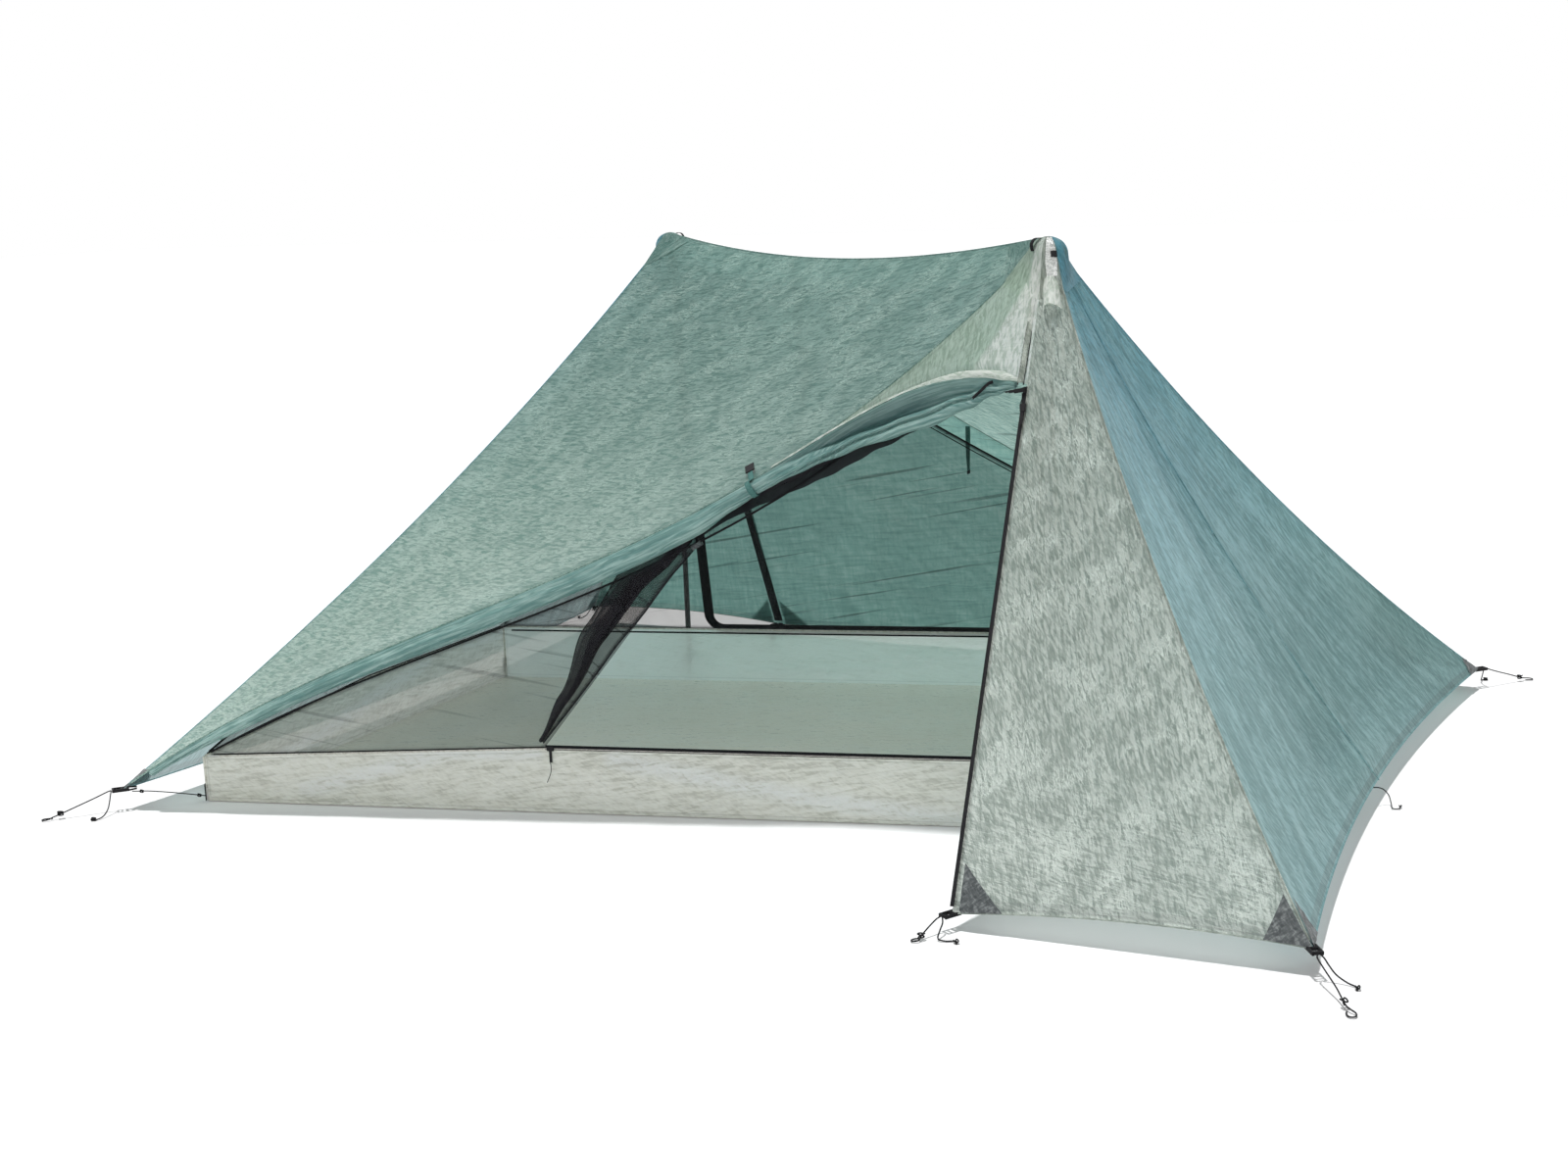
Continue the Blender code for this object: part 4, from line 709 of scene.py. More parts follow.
def blocks(name, matrix, parts, edge, **others):
    """One moulded piece made of bars, each a (centre, size) in the piece's own frame."""
    verts, faces = [], []
    for centre, size in parts:
        start = len(verts)
        for x in (-0.5, 0.5):
            for y in (-0.5, 0.5):
                for z in (-0.5, 0.5):
                    verts.append(np.array(centre) + np.array(size) * (x, y, z))
        for quad in ((0, 1, 3, 2), (4, 6, 7, 5), (0, 4, 5, 1), (2, 3, 7, 6), (0, 2, 6, 4), (1, 5, 7, 3)):
            faces.append([start + corner for corner in quad])
    obj = make_mesh(name, in_frame(matrix, verts), faces, "acetal_black", flat=True, **others)
    bevel = obj.modifiers.new("edges", "BEVEL")
    bevel.width = edge
    bevel.segments = 2


def frame_matrix(origin, along):
    """A frame at a point, with its first axis along a direction and its second axis level."""
    along = unit(along)
    across = unit(np.cross(UP, along))
    matrix = np.eye(4)
    matrix[:3] = np.column_stack((along, across, np.cross(along, across), origin))
    return matrix


def in_frame(matrix, points):
    return np.asarray(points, float) @ matrix[:3, :3].T + matrix[:3, 3]


def surface_area(points):
    first = np.cross(points[:-1, 1:] - points[:-1, :-1], points[1:, :-1] - points[:-1, :-1])
    second = np.cross(points[1:, 1:] - points[:-1, 1:], points[1:, 1:] - points[1:, :-1])
    return float((np.linalg.norm(first, axis=-1) + np.linalg.norm(second, axis=-1)).sum() / 2)


def declare_sheet(points):
    """Works out the longest side of the flat cloth a piece was cut from and the height over it, and keeps
    neither.
    """
    corners = points[[0, 0, -1, -1], [0, -1, 0, -1]]
    longest = max(np.linalg.norm(a - b) for a in corners for b in corners)
    area = surface_area(points)
    height = max(2 * area / longest, 0.02)
    if height > longest:
        height = area / longest


# Sewn panels

def distance_to_lines(points, lines):
    """The distance of each point of a grid to the nearest of some polylines."""
    spots = points.reshape(-1, 3)
    best = np.full(len(spots), np.inf)
    for line in lines:
        for start, end in zip(line, line[1:]):
            step = end - start
            share = np.clip((spots - start) @ step / max(step @ step, 1e-12), 0, 1)
            best = np.minimum(best, np.linalg.norm(spots - start - share[:, None] * step, axis=1))
    return best.reshape(points.shape[:-1])


def edge_distance(points):
    return distance_to_lines(points, [points[:, 0], points[:, -1], points[-1], points[0]])


def panel_grid(point, rows, columns, first):
    down = np.linspace(first, 1, rows + 1)[:, None]
    across = np.linspace(0, 1, columns + 1)[None, :]
    return point(across, down), np.broadcast_arrays(across, down)


def outward_normals(points):
    normal = unit(np.cross(np.gradient(points, axis=1), np.gradient(points, axis=0)))
    middle = points.reshape(-1, 3).mean(axis=0) - place(0, 0, 0.3)
    return normal if (normal.reshape(-1, 3) @ middle).sum() > 0 else -normal


def plane_axes(normal):
    """Directions across and up a panel, in its mean plane."""
    mean = unit(normal.reshape(-1, 3).mean(axis=0))
    right = unit(np.cross(UP, mean))
    return right, np.cross(mean, right)


def plane_coordinates(points, normal):
    from_middle = points - points.reshape(-1, 3).mean(axis=0)
    return [from_middle @ axis for axis in plane_axes(normal)]


def corner_folds(points, normal, corner, reach, count, height, seed):
    """Folds that fan out from a corner where the cloth is pulled tight."""
    right, upslope = plane_axes(normal)
    away = points - corner
    far = np.linalg.norm(away, axis=-1)
    angle = np.arctan2(away @ upslope, away @ right)
    phase = 1.3 * relief(angle * 4, far * 3, seed)
    strength = np.exp(-far / reach) * smooth_step(far, 0.02, 0.10)
    uneven = 0.6 + 0.4 * relief(angle * 7, far * 5, seed + 1)
    return height * strength * np.sin(count * angle + phase * 2) * uneven


def sewn_panel(name, point, material, size, first, replaced, corners=(), swell=0.003, seed=1,
               shape=None, clear_edge=0.05, rests_on=(), hem=False, folded=None, press=None, **others):
    """One panel of the tent as a sheet with its folds, and what it stands for in the frame. Corners
    are the (corner, reach, count, height) of the folds that fan out from them."""
    points, (across, down) = panel_grid(point, *size, first)
    normal = outward_normals(points)
    x, y = plane_coordinates(points, normal)
    seam = edge_distance(points)
    lift = swell * relief(x / 0.26 + 9, y / 0.22 + 7, seed)
    lift += 0.4 * swell * relief(x / 0.09 + 5, y / 0.12 + 3, seed + 1)
    for order, corner in enumerate(corners):
        lift += corner_folds(points, normal, *corner, seed + 10 + order)
    if shape:
        lift += shape(across, down, x, y)
    lift *= smooth_step(seam, 0.004, clear_edge)
    if press:
        lift *= press(points)
    moved = points + normal * lift[..., None]
    hem_away = distance_to_lines(points, [points[-1]]) if hem else np.ones_like(x)
    # The panel's painted shade, if it has any.
    if folded:
        others["folded"] = folded(across, down)
    obj = cloth(name, moved, material, x, y, seam, np.stack((across, down, hem_away), axis=-1),
                replaced=replaced, **others)
    declare_sheet(moved)


def piping(name, curve, radius, material, first=0.01, last=0.99, drop=0.0, **others):
    """The folded seam allowance along a seam, or the cord in a hem."""
    tube(name, curve(np.linspace(first, last, 90)) + DOWN * drop, radius, material, 6, **others)


WALL_SEAM_SHARE = 0.475
POLES = ("pole_grip_near", "pole_grip_far")


def wall_crease(across, down, x, y):
    """The end wall's middle seam stands a little proud, pulled out by the loop at its foot."""
    return 0.010 * np.exp(-np.abs(across - WALL_SEAM_SHARE) / 0.09) * smooth_step(down, 0.05, 0.6)


def wall_shade(across, down):
    """Painted shade: the low part of an end wall is darker, most of all by its rear corner."""
    corner = 0.9 * smooth_step(across, 0.72, 1) * smooth_step(down, 0.45, 0.85)
    return np.minimum(corner + 0.45 * smooth_step(down, 0.4, 0.95), 1.0)


def door_wrinkles(across, down, x, y):
    """Fine wrinkles that hang from the zip, and a chain of larger ones along the outer seam."""
    hanging = 0.0016 * relief(across * 30, down * 2.5, 35) * smooth_step(down, 0.1, 0.3)
    spot = 0.004 * relief(across * 9 + 3, down * 26, 36)
    outer = np.exp(-((across - 0.80) / 0.09) ** 2) * smooth_step(down, 0.42, 0.5)
    outer = outer * (1 - smooth_step(down, 0.74, 0.84))
    low = 0.0022 * relief(across * 5 + 4, down * 40 + 3, 37) * smooth_step(down, 0.75, 0.9)
    return hanging + spot * outer + low


ROOF_HEIGHT = 2.2
ROOF_WIDTH = 1.6
# Lines of painted shade on the roof: the seam of its panels and, as its painted shadow, the far pole
# behind it
ROOF_LINES = (((0.61, 1.0), (0.24, 0.85), (0.0, 0.75)), ((1.0, 1.0), (0.38, 0.75)))


def roof_bands(across, down):
    spots = np.stack((across * down * ROOF_WIDTH, down * ROOF_HEIGHT, 0 * across), axis=-1)
    lines = [np.array([(a * d * ROOF_WIDTH, d * ROOF_HEIGHT, 0) for a, d in line]) for line in ROOF_LINES]
    return 0.32 * np.exp(-(distance_to_lines(spots, lines) / 0.011) ** 2)


def roof_press(points):
    """How free the roof is to lift: it lies flat under the tab of the door's tie."""
    return smooth_step(np.linalg.norm(points - open_hip(TIE_SHARE), axis=-1), 0.05, 0.12)


def make_fly():
    peaks = [(PEAK, 0.25, 22, 0.003), (FAR_PEAK, 0.25, 22, 0.003)]
    far_peak = (FAR_PEAK, 0.35, 50)
    sewn_panel("fly_roof_front", roof_front, "roof", (200, 160), 0.012, ["roof_front"],
               [(FRONT_LEFT, 0.45, 60, 0.004), *peaks], 0.004, 3, rests_on=POLES, folded=roof_bands,
               press=roof_press)
    sewn_panel("fly_roof_rear", roof_rear, "roof_rear", (110, 110), 0.012, ["roof_rear"],
               [(REAR_RIGHT, 0.4, 55, 0.0035), *peaks], 0.004, 13, rests_on=POLES)
    for side, word in RIGHT_AND_LEFT:
        peak, low, high = (turned(spot, side) for spot in (PEAK, FRONT_RIGHT, REAR_RIGHT))
        sewn_panel("fly_end_" + word, on_side(end_wall, side), "end", (110, 100), 0.012,
                   ["end_wall_" + word],
                   [(peak, 0.35, 46, 0.0035), (low, 0.3, 30, 0.0025), (high, 0.25, 26, 0.002)],
                   seed=23 + side, shape=wall_crease, rests_on=POLES, hem=True, folded=wall_shade)
    sewn_panel("fly_door_right", door_right, "door", (110, 70), 0.03,
               ["door_front_fixed", "door_front_flap"],
               [(PEAK, 0.35, 60, 0.0025), (FRONT_RIGHT, 0.25, 26, 0.0025), (DOOR_FOOT, 0.2, 20, 0.0025)],
               seed=33, shape=door_wrinkles, rests_on=POLES, hem=True, body="door")
    sewn_panel("fly_rear_door_left", on_side(door_right, -1), "rear", (90, 60), 0.02,
               ["door_rear_left"], [(*far_peak, 0.0025), (turned(FRONT_RIGHT, -1), 0.25, 26, 0.0025)],
               seed=43, rests_on=POLES, hem=True)
    sewn_panel("fly_rear_door_right", on_side(door_left, -1), "rear", (100, 90), 0.02,
               ["door_rear_right"], [(*far_peak, 0.003), (REAR_RIGHT, 0.35, 40, 0.003)],
               seed=53, rests_on=POLES, hem=True)


HEADER_SHARE = 0.245
HEADER_CREASE = 0.25


def header_crease(across, down):
    """How far a place on the header is from its crease, towards the zip. The crease runs from the
    peak to the lip."""
    return down - (1 - HEADER_CREASE * across)


def header_shape(across, down, x, y):
    away = header_crease(across, down)
    crease = 0.013 * np.exp(-np.abs(away) / 0.06) * smooth_step(across, 0.05, 0.6)
    return crease + 0.0022 * relief(down * 60, across * 5, 64) * smooth_step(away, -0.02, 0.02)


# Painted shade on the header's left facet, which turns in under the hip.
def header_shade(across, down):
    return 1 - smooth_step(header_crease(across, down), -0.02, 0.02)


def make_header():
    """The strip over the open doorway: its right part lies flat, its left part turns in under the hip."""
    face = ruled(stretch(open_hip, HEADER_SHARE, 0), stretch(lip_curve, HEADER_SHARE, 0),
                 straight(PEAK, ZIP_OPEN))
    sewn_panel("fly_header", face, "header", (110, 50), 0.06, ["door_front_header"],
               [(PEAK, 0.2, 30, 0.002), (ZIP_OPEN, 0.1, 18, 0.002)], seed=63, shape=header_shape,
               clear_edge=0.02, folded=header_shade)
    shares = np.linspace(0.004, 0.27, 90)
    thick = 0.0062 * smooth_step(shares, 0.0, 0.03) * (1 - smooth_step(shares, 0.05, 0.14))
    crumple = 0.0010 * relief(shares * 220, shares * 0, 12) * smooth_step(shares, 0, 0.02)
    tube("header_lip", lip_curve(shares) + UP * 0.002, thick + 0.0014 + np.abs(crumple), "header", 10)
    zip_top = straight(PEAK + DOWN * 0.03, ZIP_OPEN)(np.linspace(0, 1, 60))
    for word, off in (("outer", -0.006), ("inner", -0.017)):
        tube("storm_flap_" + word, zip_top + place(off, -0.0035, 0), 0.0011, "acetal_black", 6)
    line = straight(PEAK + DOWN * 0.028, ZIP_OPEN + UP * 0.004)(np.linspace(0, 1, 60))
    ribbon_strip("storm_flap", line + place(-0.0115, -0.0028, 0), place(1, 0.1, 0), 0.011, 0.0012, "door")


# The toggle's bars, and the routes of its cord and of the loop beside it, from where each starts
TOGGLE_BARS = (((0.000, 0, 0), (0.020, 0.007, 0.008)), ((0.014, 0, 0.0006), (0.012, 0.006, 0.0055)),
               ((0.023, 0, 0.001), (0.009, 0.0045, 0.003)), ((-0.010, 0, 0), (0.004, 0.010, 0.010)))
TOGGLE_CORD = ((0, 0, 0), (0.0, -0.001, -0.010), (-0.004, -0.001, -0.022), (-0.003, 0, -0.034),
               (0.006, 0.001, -0.046), (0.012, 0.001, -0.052))
DOOR_LOOP = ((0, 0, 0), (-0.008, -0.003, -0.003), (-0.020, -0.004, -0.014), (-0.034, -0.004, -0.026),
             (-0.040, -0.002, -0.031))


def make_toggle():
    """The wedge that fastens the rolled door to the zip's end, its cord, and the loop beside it."""
    heart = ZIP_OPEN + place(-0.012, -0.008, -0.010)
    blocks("door_toggle", frame_matrix(heart, place(-1, 0, -0.16)), TOGGLE_BARS, 0.0009)
    line = smooth_line(heart + place(0.006, -0.002, -0.004) + np.array(TOGGLE_CORD), 0.003)
    end_knot = knot("toggle_knot", line[-3], line[-1] - line[-3], 0.0026, 0.0007, "fine_braid")
    free_cord("toggle_cord", line, PULL_CORD_DIAMETER, "fine_braid", pieces=[end_knot])
    line = smooth_line(lip_curve(0.036) + place(0, -0.012, -0.010) + np.array(DOOR_LOOP), 0.002)
    ribbon_strip("door_loop", line, place(0.3, 0.1, 1), 0.006, 0.0016, "binding_tape")


# Roll: share along it, height, depth, and how much of a pocket opens under the lip
ROLL_ROWS = (
    (0.0, 0.014, 0.012, 0.0), (0.025, 0.036, 0.020, 0.5), (0.06, 0.062, 0.034, 0.95),
    (0.11, 0.078, 0.040, 1.0), (0.15, 0.070, 0.042, 1.0), (0.20, 0.052, 0.041, 0.85),
    (0.24, 0.038, 0.037, 0.4), (0.27, 0.030, 0.033, 0.1), (0.292, 0.028, 0.031, 0.0),
    (0.32, 0.032, 0.034, 0.0), (0.36, 0.043, 0.040, 0.0),
    (0.62, 0.041, 0.040, 0.0), (0.85, 0.030, 0.030, 0.0), (1.0, 0.014, 0.014, 0.0),
)
# Cross-sections of the roll from the lip, down its front and up its back: shares of its depth and height
POCKET_SECTION = (
    (0.0, 0.0), (-0.34, -0.14), (-0.66, -0.34), (-0.50, -0.52), (0.20, -0.555), (0.50, -0.61),
    (0.16, -0.68), (0.58, -0.76), (0.62, -0.86), (0.38, -0.95), (-0.10, -1.0), (-0.62, -0.92),
    (-0.80, -0.72),
)
ROUND_SECTION = (
    (0.0, 0.0), (0.20, -0.04), (0.38, -0.14), (0.50, -0.30), (0.52, -0.46), (0.47, -0.60),
    (0.41, -0.71), (0.32, -0.82), (0.18, -0.93), (-0.08, -1.0), (-0.36, -0.88), (-0.52, -0.62),
)
OUTLINE_COUNT = 56
TURN_COUNT = 18
TURNS = 6
# Where the roll starts and ends along the lip, and the folds of its first turn
ROLL_START = 0.012
ROLL_END = 0.965
ROLL_FOLDS = 5
ROLL_FOLD_HEIGHT = 0.0016
ROLL_ROUGHNESS = 0.0022


def section_line(points):
    """Even points round a smooth open outline."""
    line = flat_outline(points, 0.02)
    targets = np.linspace(0, len(line) - 1, OUTLINE_COUNT)
    index = np.arange(len(line))
    return np.stack([np.interp(targets, index, line[:, axis]) for axis in range(2)], axis=1)


def make_roll():
    """The left half of the door, wound up under its lip: its first turn has the sections above."""
    shares = np.linspace(0, 1, 190)
    heights, depths, pockets = (table_value(ROLL_ROWS, shares, column)[:, None] for column in (1, 2, 3))
    line = stretch(lip_curve, ROLL_START, ROLL_END)(shares) + DOWN * 0.0016
    along = unit(np.gradient(line, axis=0))
    up = unit(UP - along * along[:, 2:3])
    across = np.cross(along, up)
    across = across * np.where(across[:, 1:2] < 0, 1, -1)
    pocket, plain = section_line(POCKET_SECTION), section_line(ROUND_SECTION)
    outline = plain + pockets[..., None] * (pocket - plain)
    angle = -math.pi - 0.25 - np.arange(1, TURNS * TURN_COUNT) * math.tau / TURN_COUNT
    shrink = np.linspace(0.92, 0.35, len(angle))
    core_out = (-0.02 - 0.1 * pockets) + 0.44 * shrink * np.cos(angle)
    core_up = -0.50 - 0.26 * pockets + (0.42 - 0.20 * pockets) * shrink * np.sin(angle)
    section = np.concatenate((outline, np.stack((core_out, core_up), axis=-1)), axis=1)
    out, high = section[..., 0] * depths, section[..., 1] * heights
    phase = np.linspace(0, 1, OUTLINE_COUNT)
    where = shares[:, None]
    wave = np.sin(math.tau * ROLL_FOLDS * phase + 5 * where + 1.6 * relief(where * 9, phase * 3, 5))
    wave = wave * smooth_step(phase, 0.0, 0.12) * ROLL_FOLD_HEIGHT
    rough = ROLL_ROUGHNESS * relief(where * 34, phase * 5 + 3, 6) * smooth_step(phase, 0.0, 0.15)
    out[:, :OUTLINE_COUNT] += wave + rough
    high[:, :OUTLINE_COUNT] += 0.4 * wave
    rings = line[:, None] + across[:, None] * out[..., None] + up[:, None] * high[..., None]
    around, length = np.broadcast_arrays(run_along(rings, 1), run_along(line)[:, None])
    share = np.stack((around * 3.2, length * 0.5, np.ones_like(around)), axis=-1)
    # Painted shade inside the pocket that opens under the lip.
    shaded = np.zeros(section.shape[1])
    shaded[:OUTLINE_COUNT] = smooth_step(phase, 0.02, 0.06) * (1 - smooth_step(phase, 0.36, 0.44))
    depth_of_shade = pockets * (0.55 + 0.45 * smooth_step(where, 0.05, 0.14))
    roll = cloth("door_roll", rings, "roll", around, length, np.minimum(around, 1.0) + 0.004, share,
                 folded=depth_of_shade * shaded, replaced=["door_front_rolled"])
    area = surface_area(panel_grid(door_left, 40, 40, 0.0)[0])
    longest = float(np.linalg.norm(PEAK - FRONT_LEFT))


def make_edges():
    """Seams and hems, as piping along them; their double stitching is in the films."""
    for name, curve, side, radius, material in (
            ("seam_ridge", ridge, 1, SEAM_RADIUS, "roof"),
            ("seam_open_hip", open_hip, 1, SEAM_RADIUS, "roof"),
            ("seam_rear_hip", closed_hip, -1, SEAM_RADIUS, "roof"),
            ("seam_end_hip_right", end_hip, 1, SEAM_RADIUS, "end"),
            ("seam_end_hip_left", end_hip, -1, SEAM_RADIUS, "end"),
            ("seam_door_rear", door_seam, -1, SEAM_RADIUS, "door"),
            ("hem_end_right", end_hem, 1, HEM_RADIUS, "end"),
            ("hem_end_left", end_hem, -1, HEM_RADIUS, "end"),
            ("hem_rear_short", short_hem, -1, HEM_RADIUS, "door"),
            ("hem_rear_long", long_hem, -1, HEM_RADIUS, "door"),
            ("seam_door_front", door_seam, 1, SEAM_RADIUS * 1.3, "door")):
        piping(name, on_side(curve, side), radius, material)
    piping("hem_front_short", short_hem, HEM_RADIUS, "door", body="door")
    shares = np.linspace(0.04, 0.995, 80)
    bulge = 0.010 * smooth_step(shares, 0.05, 0.6) + 0.0006
    line = end_wall(WALL_SEAM_SHARE, shares) + unit(place(1, 0.05, 0.25)) * bulge[:, None]
    for side, word in RIGHT_AND_LEFT:
        tube("wall_seam_" + word, turned(line, side), 0.0011, "end", 6)


# Reinforcing triangles over corners: the three corners of each on its panel, the sewn one first
PATCHES = (
    ("door_foot", door_right, ((0.022, 1), (0.022, 0.93), (0.15, 1)), 1),
    ("front_right_door", door_right, ((1, 1), (0.985, 0.935), (0.87, 1)), 1),
    ("end_low_right", end_wall, ((0, 1), (0.004, 0.94), (0.035, 1)), 1),
    ("end_high_right", end_wall, ((1, 1), (0.996, 0.95), (0.965, 1)), 1),
    ("end_low_left", end_wall, ((0, 1), (0.004, 0.94), (0.035, 1)), -1),
    ("end_high_left", end_wall, ((1, 1), (0.996, 0.95), (0.965, 1)), -1),
    ("rear_door_foot", door_right, ((0.03, 1), (0.03, 0.93), (0.15, 1)), -1),
    ("rear_door_corner", door_right, ((1, 1), (0.985, 0.935), (0.87, 1)), -1),
    ("rear_foot_long", door_left, ((0.010, 1), (0.010, 0.93), (0.05, 1)), -1),
    ("rear_right_door", door_left, ((1, 1), (0.99, 0.95), (0.955, 1)), -1),
    ("roof_front", roof_front, ((0.5, 0), (0, 0.035), (1, 0.035)), 1),
    ("roof_rear", roof_rear, ((0.5, 0), (0, 0.035), (1, 0.035)), 1),
)


def make_patches():
    t, s = np.linspace(0.06, 1, 14)[:, None, None], np.linspace(0, 1, 14)[None, :, None]
    for word, face, spots, side in PATCHES:
        corner, first, second = (np.array(spot, float) for spot in spots)
        where = corner + t * ((first - corner) * (1 - s) + (second - corner) * s)
        points = turned(face(where[..., 0], where[..., 1]), side)
        normal = outward_normals(points)
        x, y = plane_coordinates(points, normal)
        lift = 0.0034 + 0.0009 * relief(x / 0.012 + 20, y / 0.012 + 20, 7)
        points = points + normal * lift[..., None]
        on_door = face is door_right and side == 1
        patch = cloth("patch_" + word, points, "patch", x, y, body="door" if on_door else "shelter")
        declare_sheet(points)


def make_peak_loop(word, side):
    """A small webbing loop sewn to the peak beside its window."""
    heading = math.radians(-122)
    turn = np.radians((30, 36, 46, 58, 68, 74))
    reach = CAP_RADIUS + np.array((0.003, 0.007, 0.011, 0.011, 0.007, 0.003))
    line = np.stack((reach * np.sin(turn) * math.cos(heading), reach * np.sin(turn) * math.sin(heading),
                     reach * np.cos(turn)), axis=-1) + PEAK + DOWN * CAP_RADIUS
    across = turned(place(-math.sin(heading), math.cos(heading), 0), side)
    ribbon_strip("peak_loop_" + word, turned(smooth_line(line, 0.002), side), across, 0.009, 0.0012,
                 "binding_tape")


PEAK_REACH = 0.125
PEAK_SEAMS = {"zip": zip_line, "seam": door_seam, "end_hip": end_hip, "ridge": ridge, "open_hip": open_hip}
# The panels that meet over a peak: their two seams, their films at both peaks, and their pleats
PEAK_GORES = (
    ("door", "zip", "seam", "door", "rear", 3), ("end", "seam", "end_hip", "end", "end", 3),
    ("back", "end_hip", "ridge", "roof_rear", "roof", 4),
    ("roof", "ridge", "open_hip", "roof", "roof_rear", 4),
    ("header", "open_hip", "zip", "header", "rear", 3),
)


def gore_point(first, second, across, down, lift):
    """A place where two seams' cloth leaves the round peak: down is 0 on top and 1 at its foot."""
    ends = []
    for word in (first, second):
        curve = PEAK_SEAMS[word]
        ends.append(curve(PEAK_REACH / np.linalg.norm(curve(0.1) - PEAK) * 0.1) - PEAK)
    across, down = np.broadcast_arrays(np.asarray(across, float), np.asarray(down, float))
    foot = ends[0] + across[..., None] * (ends[1] - ends[0])
    heading = unit(foot * np.array((1, 1, 0)))
    radius = CAP_RADIUS + lift
    out, high = np.linalg.norm(foot[..., :2], axis=-1), foot[..., 2] + CAP_RADIUS
    apart = np.hypot(out, high)
    polar = np.arctan2(out, high) - np.arccos(radius / apart)
    arc = radius * polar
    run = np.sqrt(apart ** 2 - radius ** 2)
    along = down * (arc + run)
    turn = np.minimum(along, arc) / radius
    past = np.maximum(along - arc, 0) / run
    start_out, start_high = radius * np.sin(polar), radius * np.cos(polar)
    reach = np.where(past > 0, start_out + past * (out - start_out), radius * np.sin(turn))
    rise = np.where(past > 0, start_high + past * (high - start_high), radius * np.cos(turn))
    return PEAK + heading * reach[..., None] + UP * (rise - CAP_RADIUS)[..., None]


def make_gores(word, side):
    """The panels run over the round peak, pleated where they gather."""
    across, down = np.linspace(0, 1, 37)[None, :], np.linspace(0.01, 1, 44)[:, None]
    for order, (label, first, second, near_film, far_film, pleats) in enumerate(PEAK_GORES):
        pleat = 0.0014 * np.abs(np.sin(math.pi * pleats * across))
        pleat = pleat + 0.0007 * relief(across * 9, down * 5, 50 + order)
        pleat = pleat * smooth_step(down, 0.1, 0.3) * (1 - smooth_step(down, 0.72, 1))
        points = turned(gore_point(first, second, across, down, 0.0014 + pleat), side)
        # Painted shade on the header's gore, on its hip side.
        shaded = 1 - smooth_step(across, 0.66, 0.78) if label == "header" else 0 * across
        gore = cloth("peak_gore_%s_%s" % (label, word), points, near_film if side > 0 else far_film,
                     across * 0.09, (1 - down) * PEAK_REACH, folded=shaded + 0 * down)
        area = surface_area(points)


def make_caps():
    """Round reinforced peaks, pleated where the panels gather."""
    angle = np.linspace(0.03, math.radians(125), 26)[:, None]
    heading = np.linspace(0, math.tau, 73)[None, :]
    pleat = 0.0012 * np.abs(np.cos(7 * heading)) * smooth_step(angle, 0.2, 0.9)
    pleat = pleat + 0.0006 * relief(heading * 5, angle * 6, 3) * smooth_step(angle, 0.2, 0.8)
    radius = CAP_RADIUS + 0.0004 + pleat
    right, ahead = np.sin(angle) * np.cos(heading), np.sin(angle) * np.sin(heading)
    for side, word in NEAR_AND_FAR:
        points = np.stack((radius * np.sin(angle) * np.cos(heading),
                           radius * np.sin(angle) * np.sin(heading),
                           radius * np.cos(angle) + 0 * heading), axis=-1)
        points = points + turned(PEAK, side) + DOWN * CAP_RADIUS
        cap = cloth("cap_" + word, points, "roof", CAP_RADIUS * right, CAP_RADIUS * ahead,
                    replaced=["peak_cap_" + word])
        round(surface_area(points), 4)
        make_gores(word, side)
        make_peak_loop(word, side)


# Guy lines and tensioners

GUY_ANGLE_LEFT = math.radians(-132.8)
GUY_ANGLE_RIGHT = math.radians(-57.4)
GUY_ANGLE_DOOR = math.radians(-118.9)
CORNERS = {
    "front_left": (FRONT_LEFT, GUY_ANGLE_LEFT, 1, "shelter"),
    "front_right": (FRONT_RIGHT, GUY_ANGLE_RIGHT, 1, "shelter"),
    "rear_right": (FRONT_LEFT, GUY_ANGLE_LEFT, -1, "shelter"),
    "rear_left": (FRONT_RIGHT, GUY_ANGLE_RIGHT, -1, "shelter"),
    "door_front": (DOOR_FOOT, GUY_ANGLE_DOOR, 1, "door_flap"),
    "door_rear": (DOOR_FOOT, GUY_ANGLE_DOOR, -1, "shelter"),
}
LONG_TAIL = (
    (0.0239, 0.003, 0.0468), (0.0262, 0.009, 0.040), (0.0295, 0.016, 0.028), (0.035, 0.026, 0.014),
    (0.046, 0.040, 0.004), (0.060, 0.050, 0.0016), (0.072, 0.046, 0.0014),
)
LONG_LINE = (
    (0.0239, -0.002, 0.0469), (0.033, -0.005, 0.0435), (0.06, -0.003, 0.034), (0.10, 0.0, 0.021),
    (0.135, 0.0, 0.009), (0.148, 0.003, 0.006), (0.158, 0.008, 0.0035), (0.167, 0.006, 0.0025),
    (0.170, 0.0, 0.0020), (0.166, -0.006, 0.0018), (0.156, -0.006, 0.0018), (0.148, -0.002, 0.0018),
)
SHORT_TAIL = (
    (0.0243, 0.003, 0.0295), (0.029, 0.009, 0.022), (0.039, 0.014, 0.013), (0.052, 0.024, 0.004),
    (0.046, 0.036, 0.0014), (0.034, 0.046, 0.0014), (0.038, 0.058, 0.0014),
)
SHORT_LINE = (
    (0.0246, -0.002, 0.0298), (0.032, -0.004, 0.0265), (0.05, -0.002, 0.018), (0.066, 0.0, 0.009),
    (0.074, 0.004, 0.006), (0.082, 0.008, 0.0035), (0.089, 0.005, 0.0025), (0.091, 0.0, 0.0020),
    (0.087, -0.005, 0.0018), (0.079, -0.005, 0.0018), (0.073, -0.001, 0.0018),
)
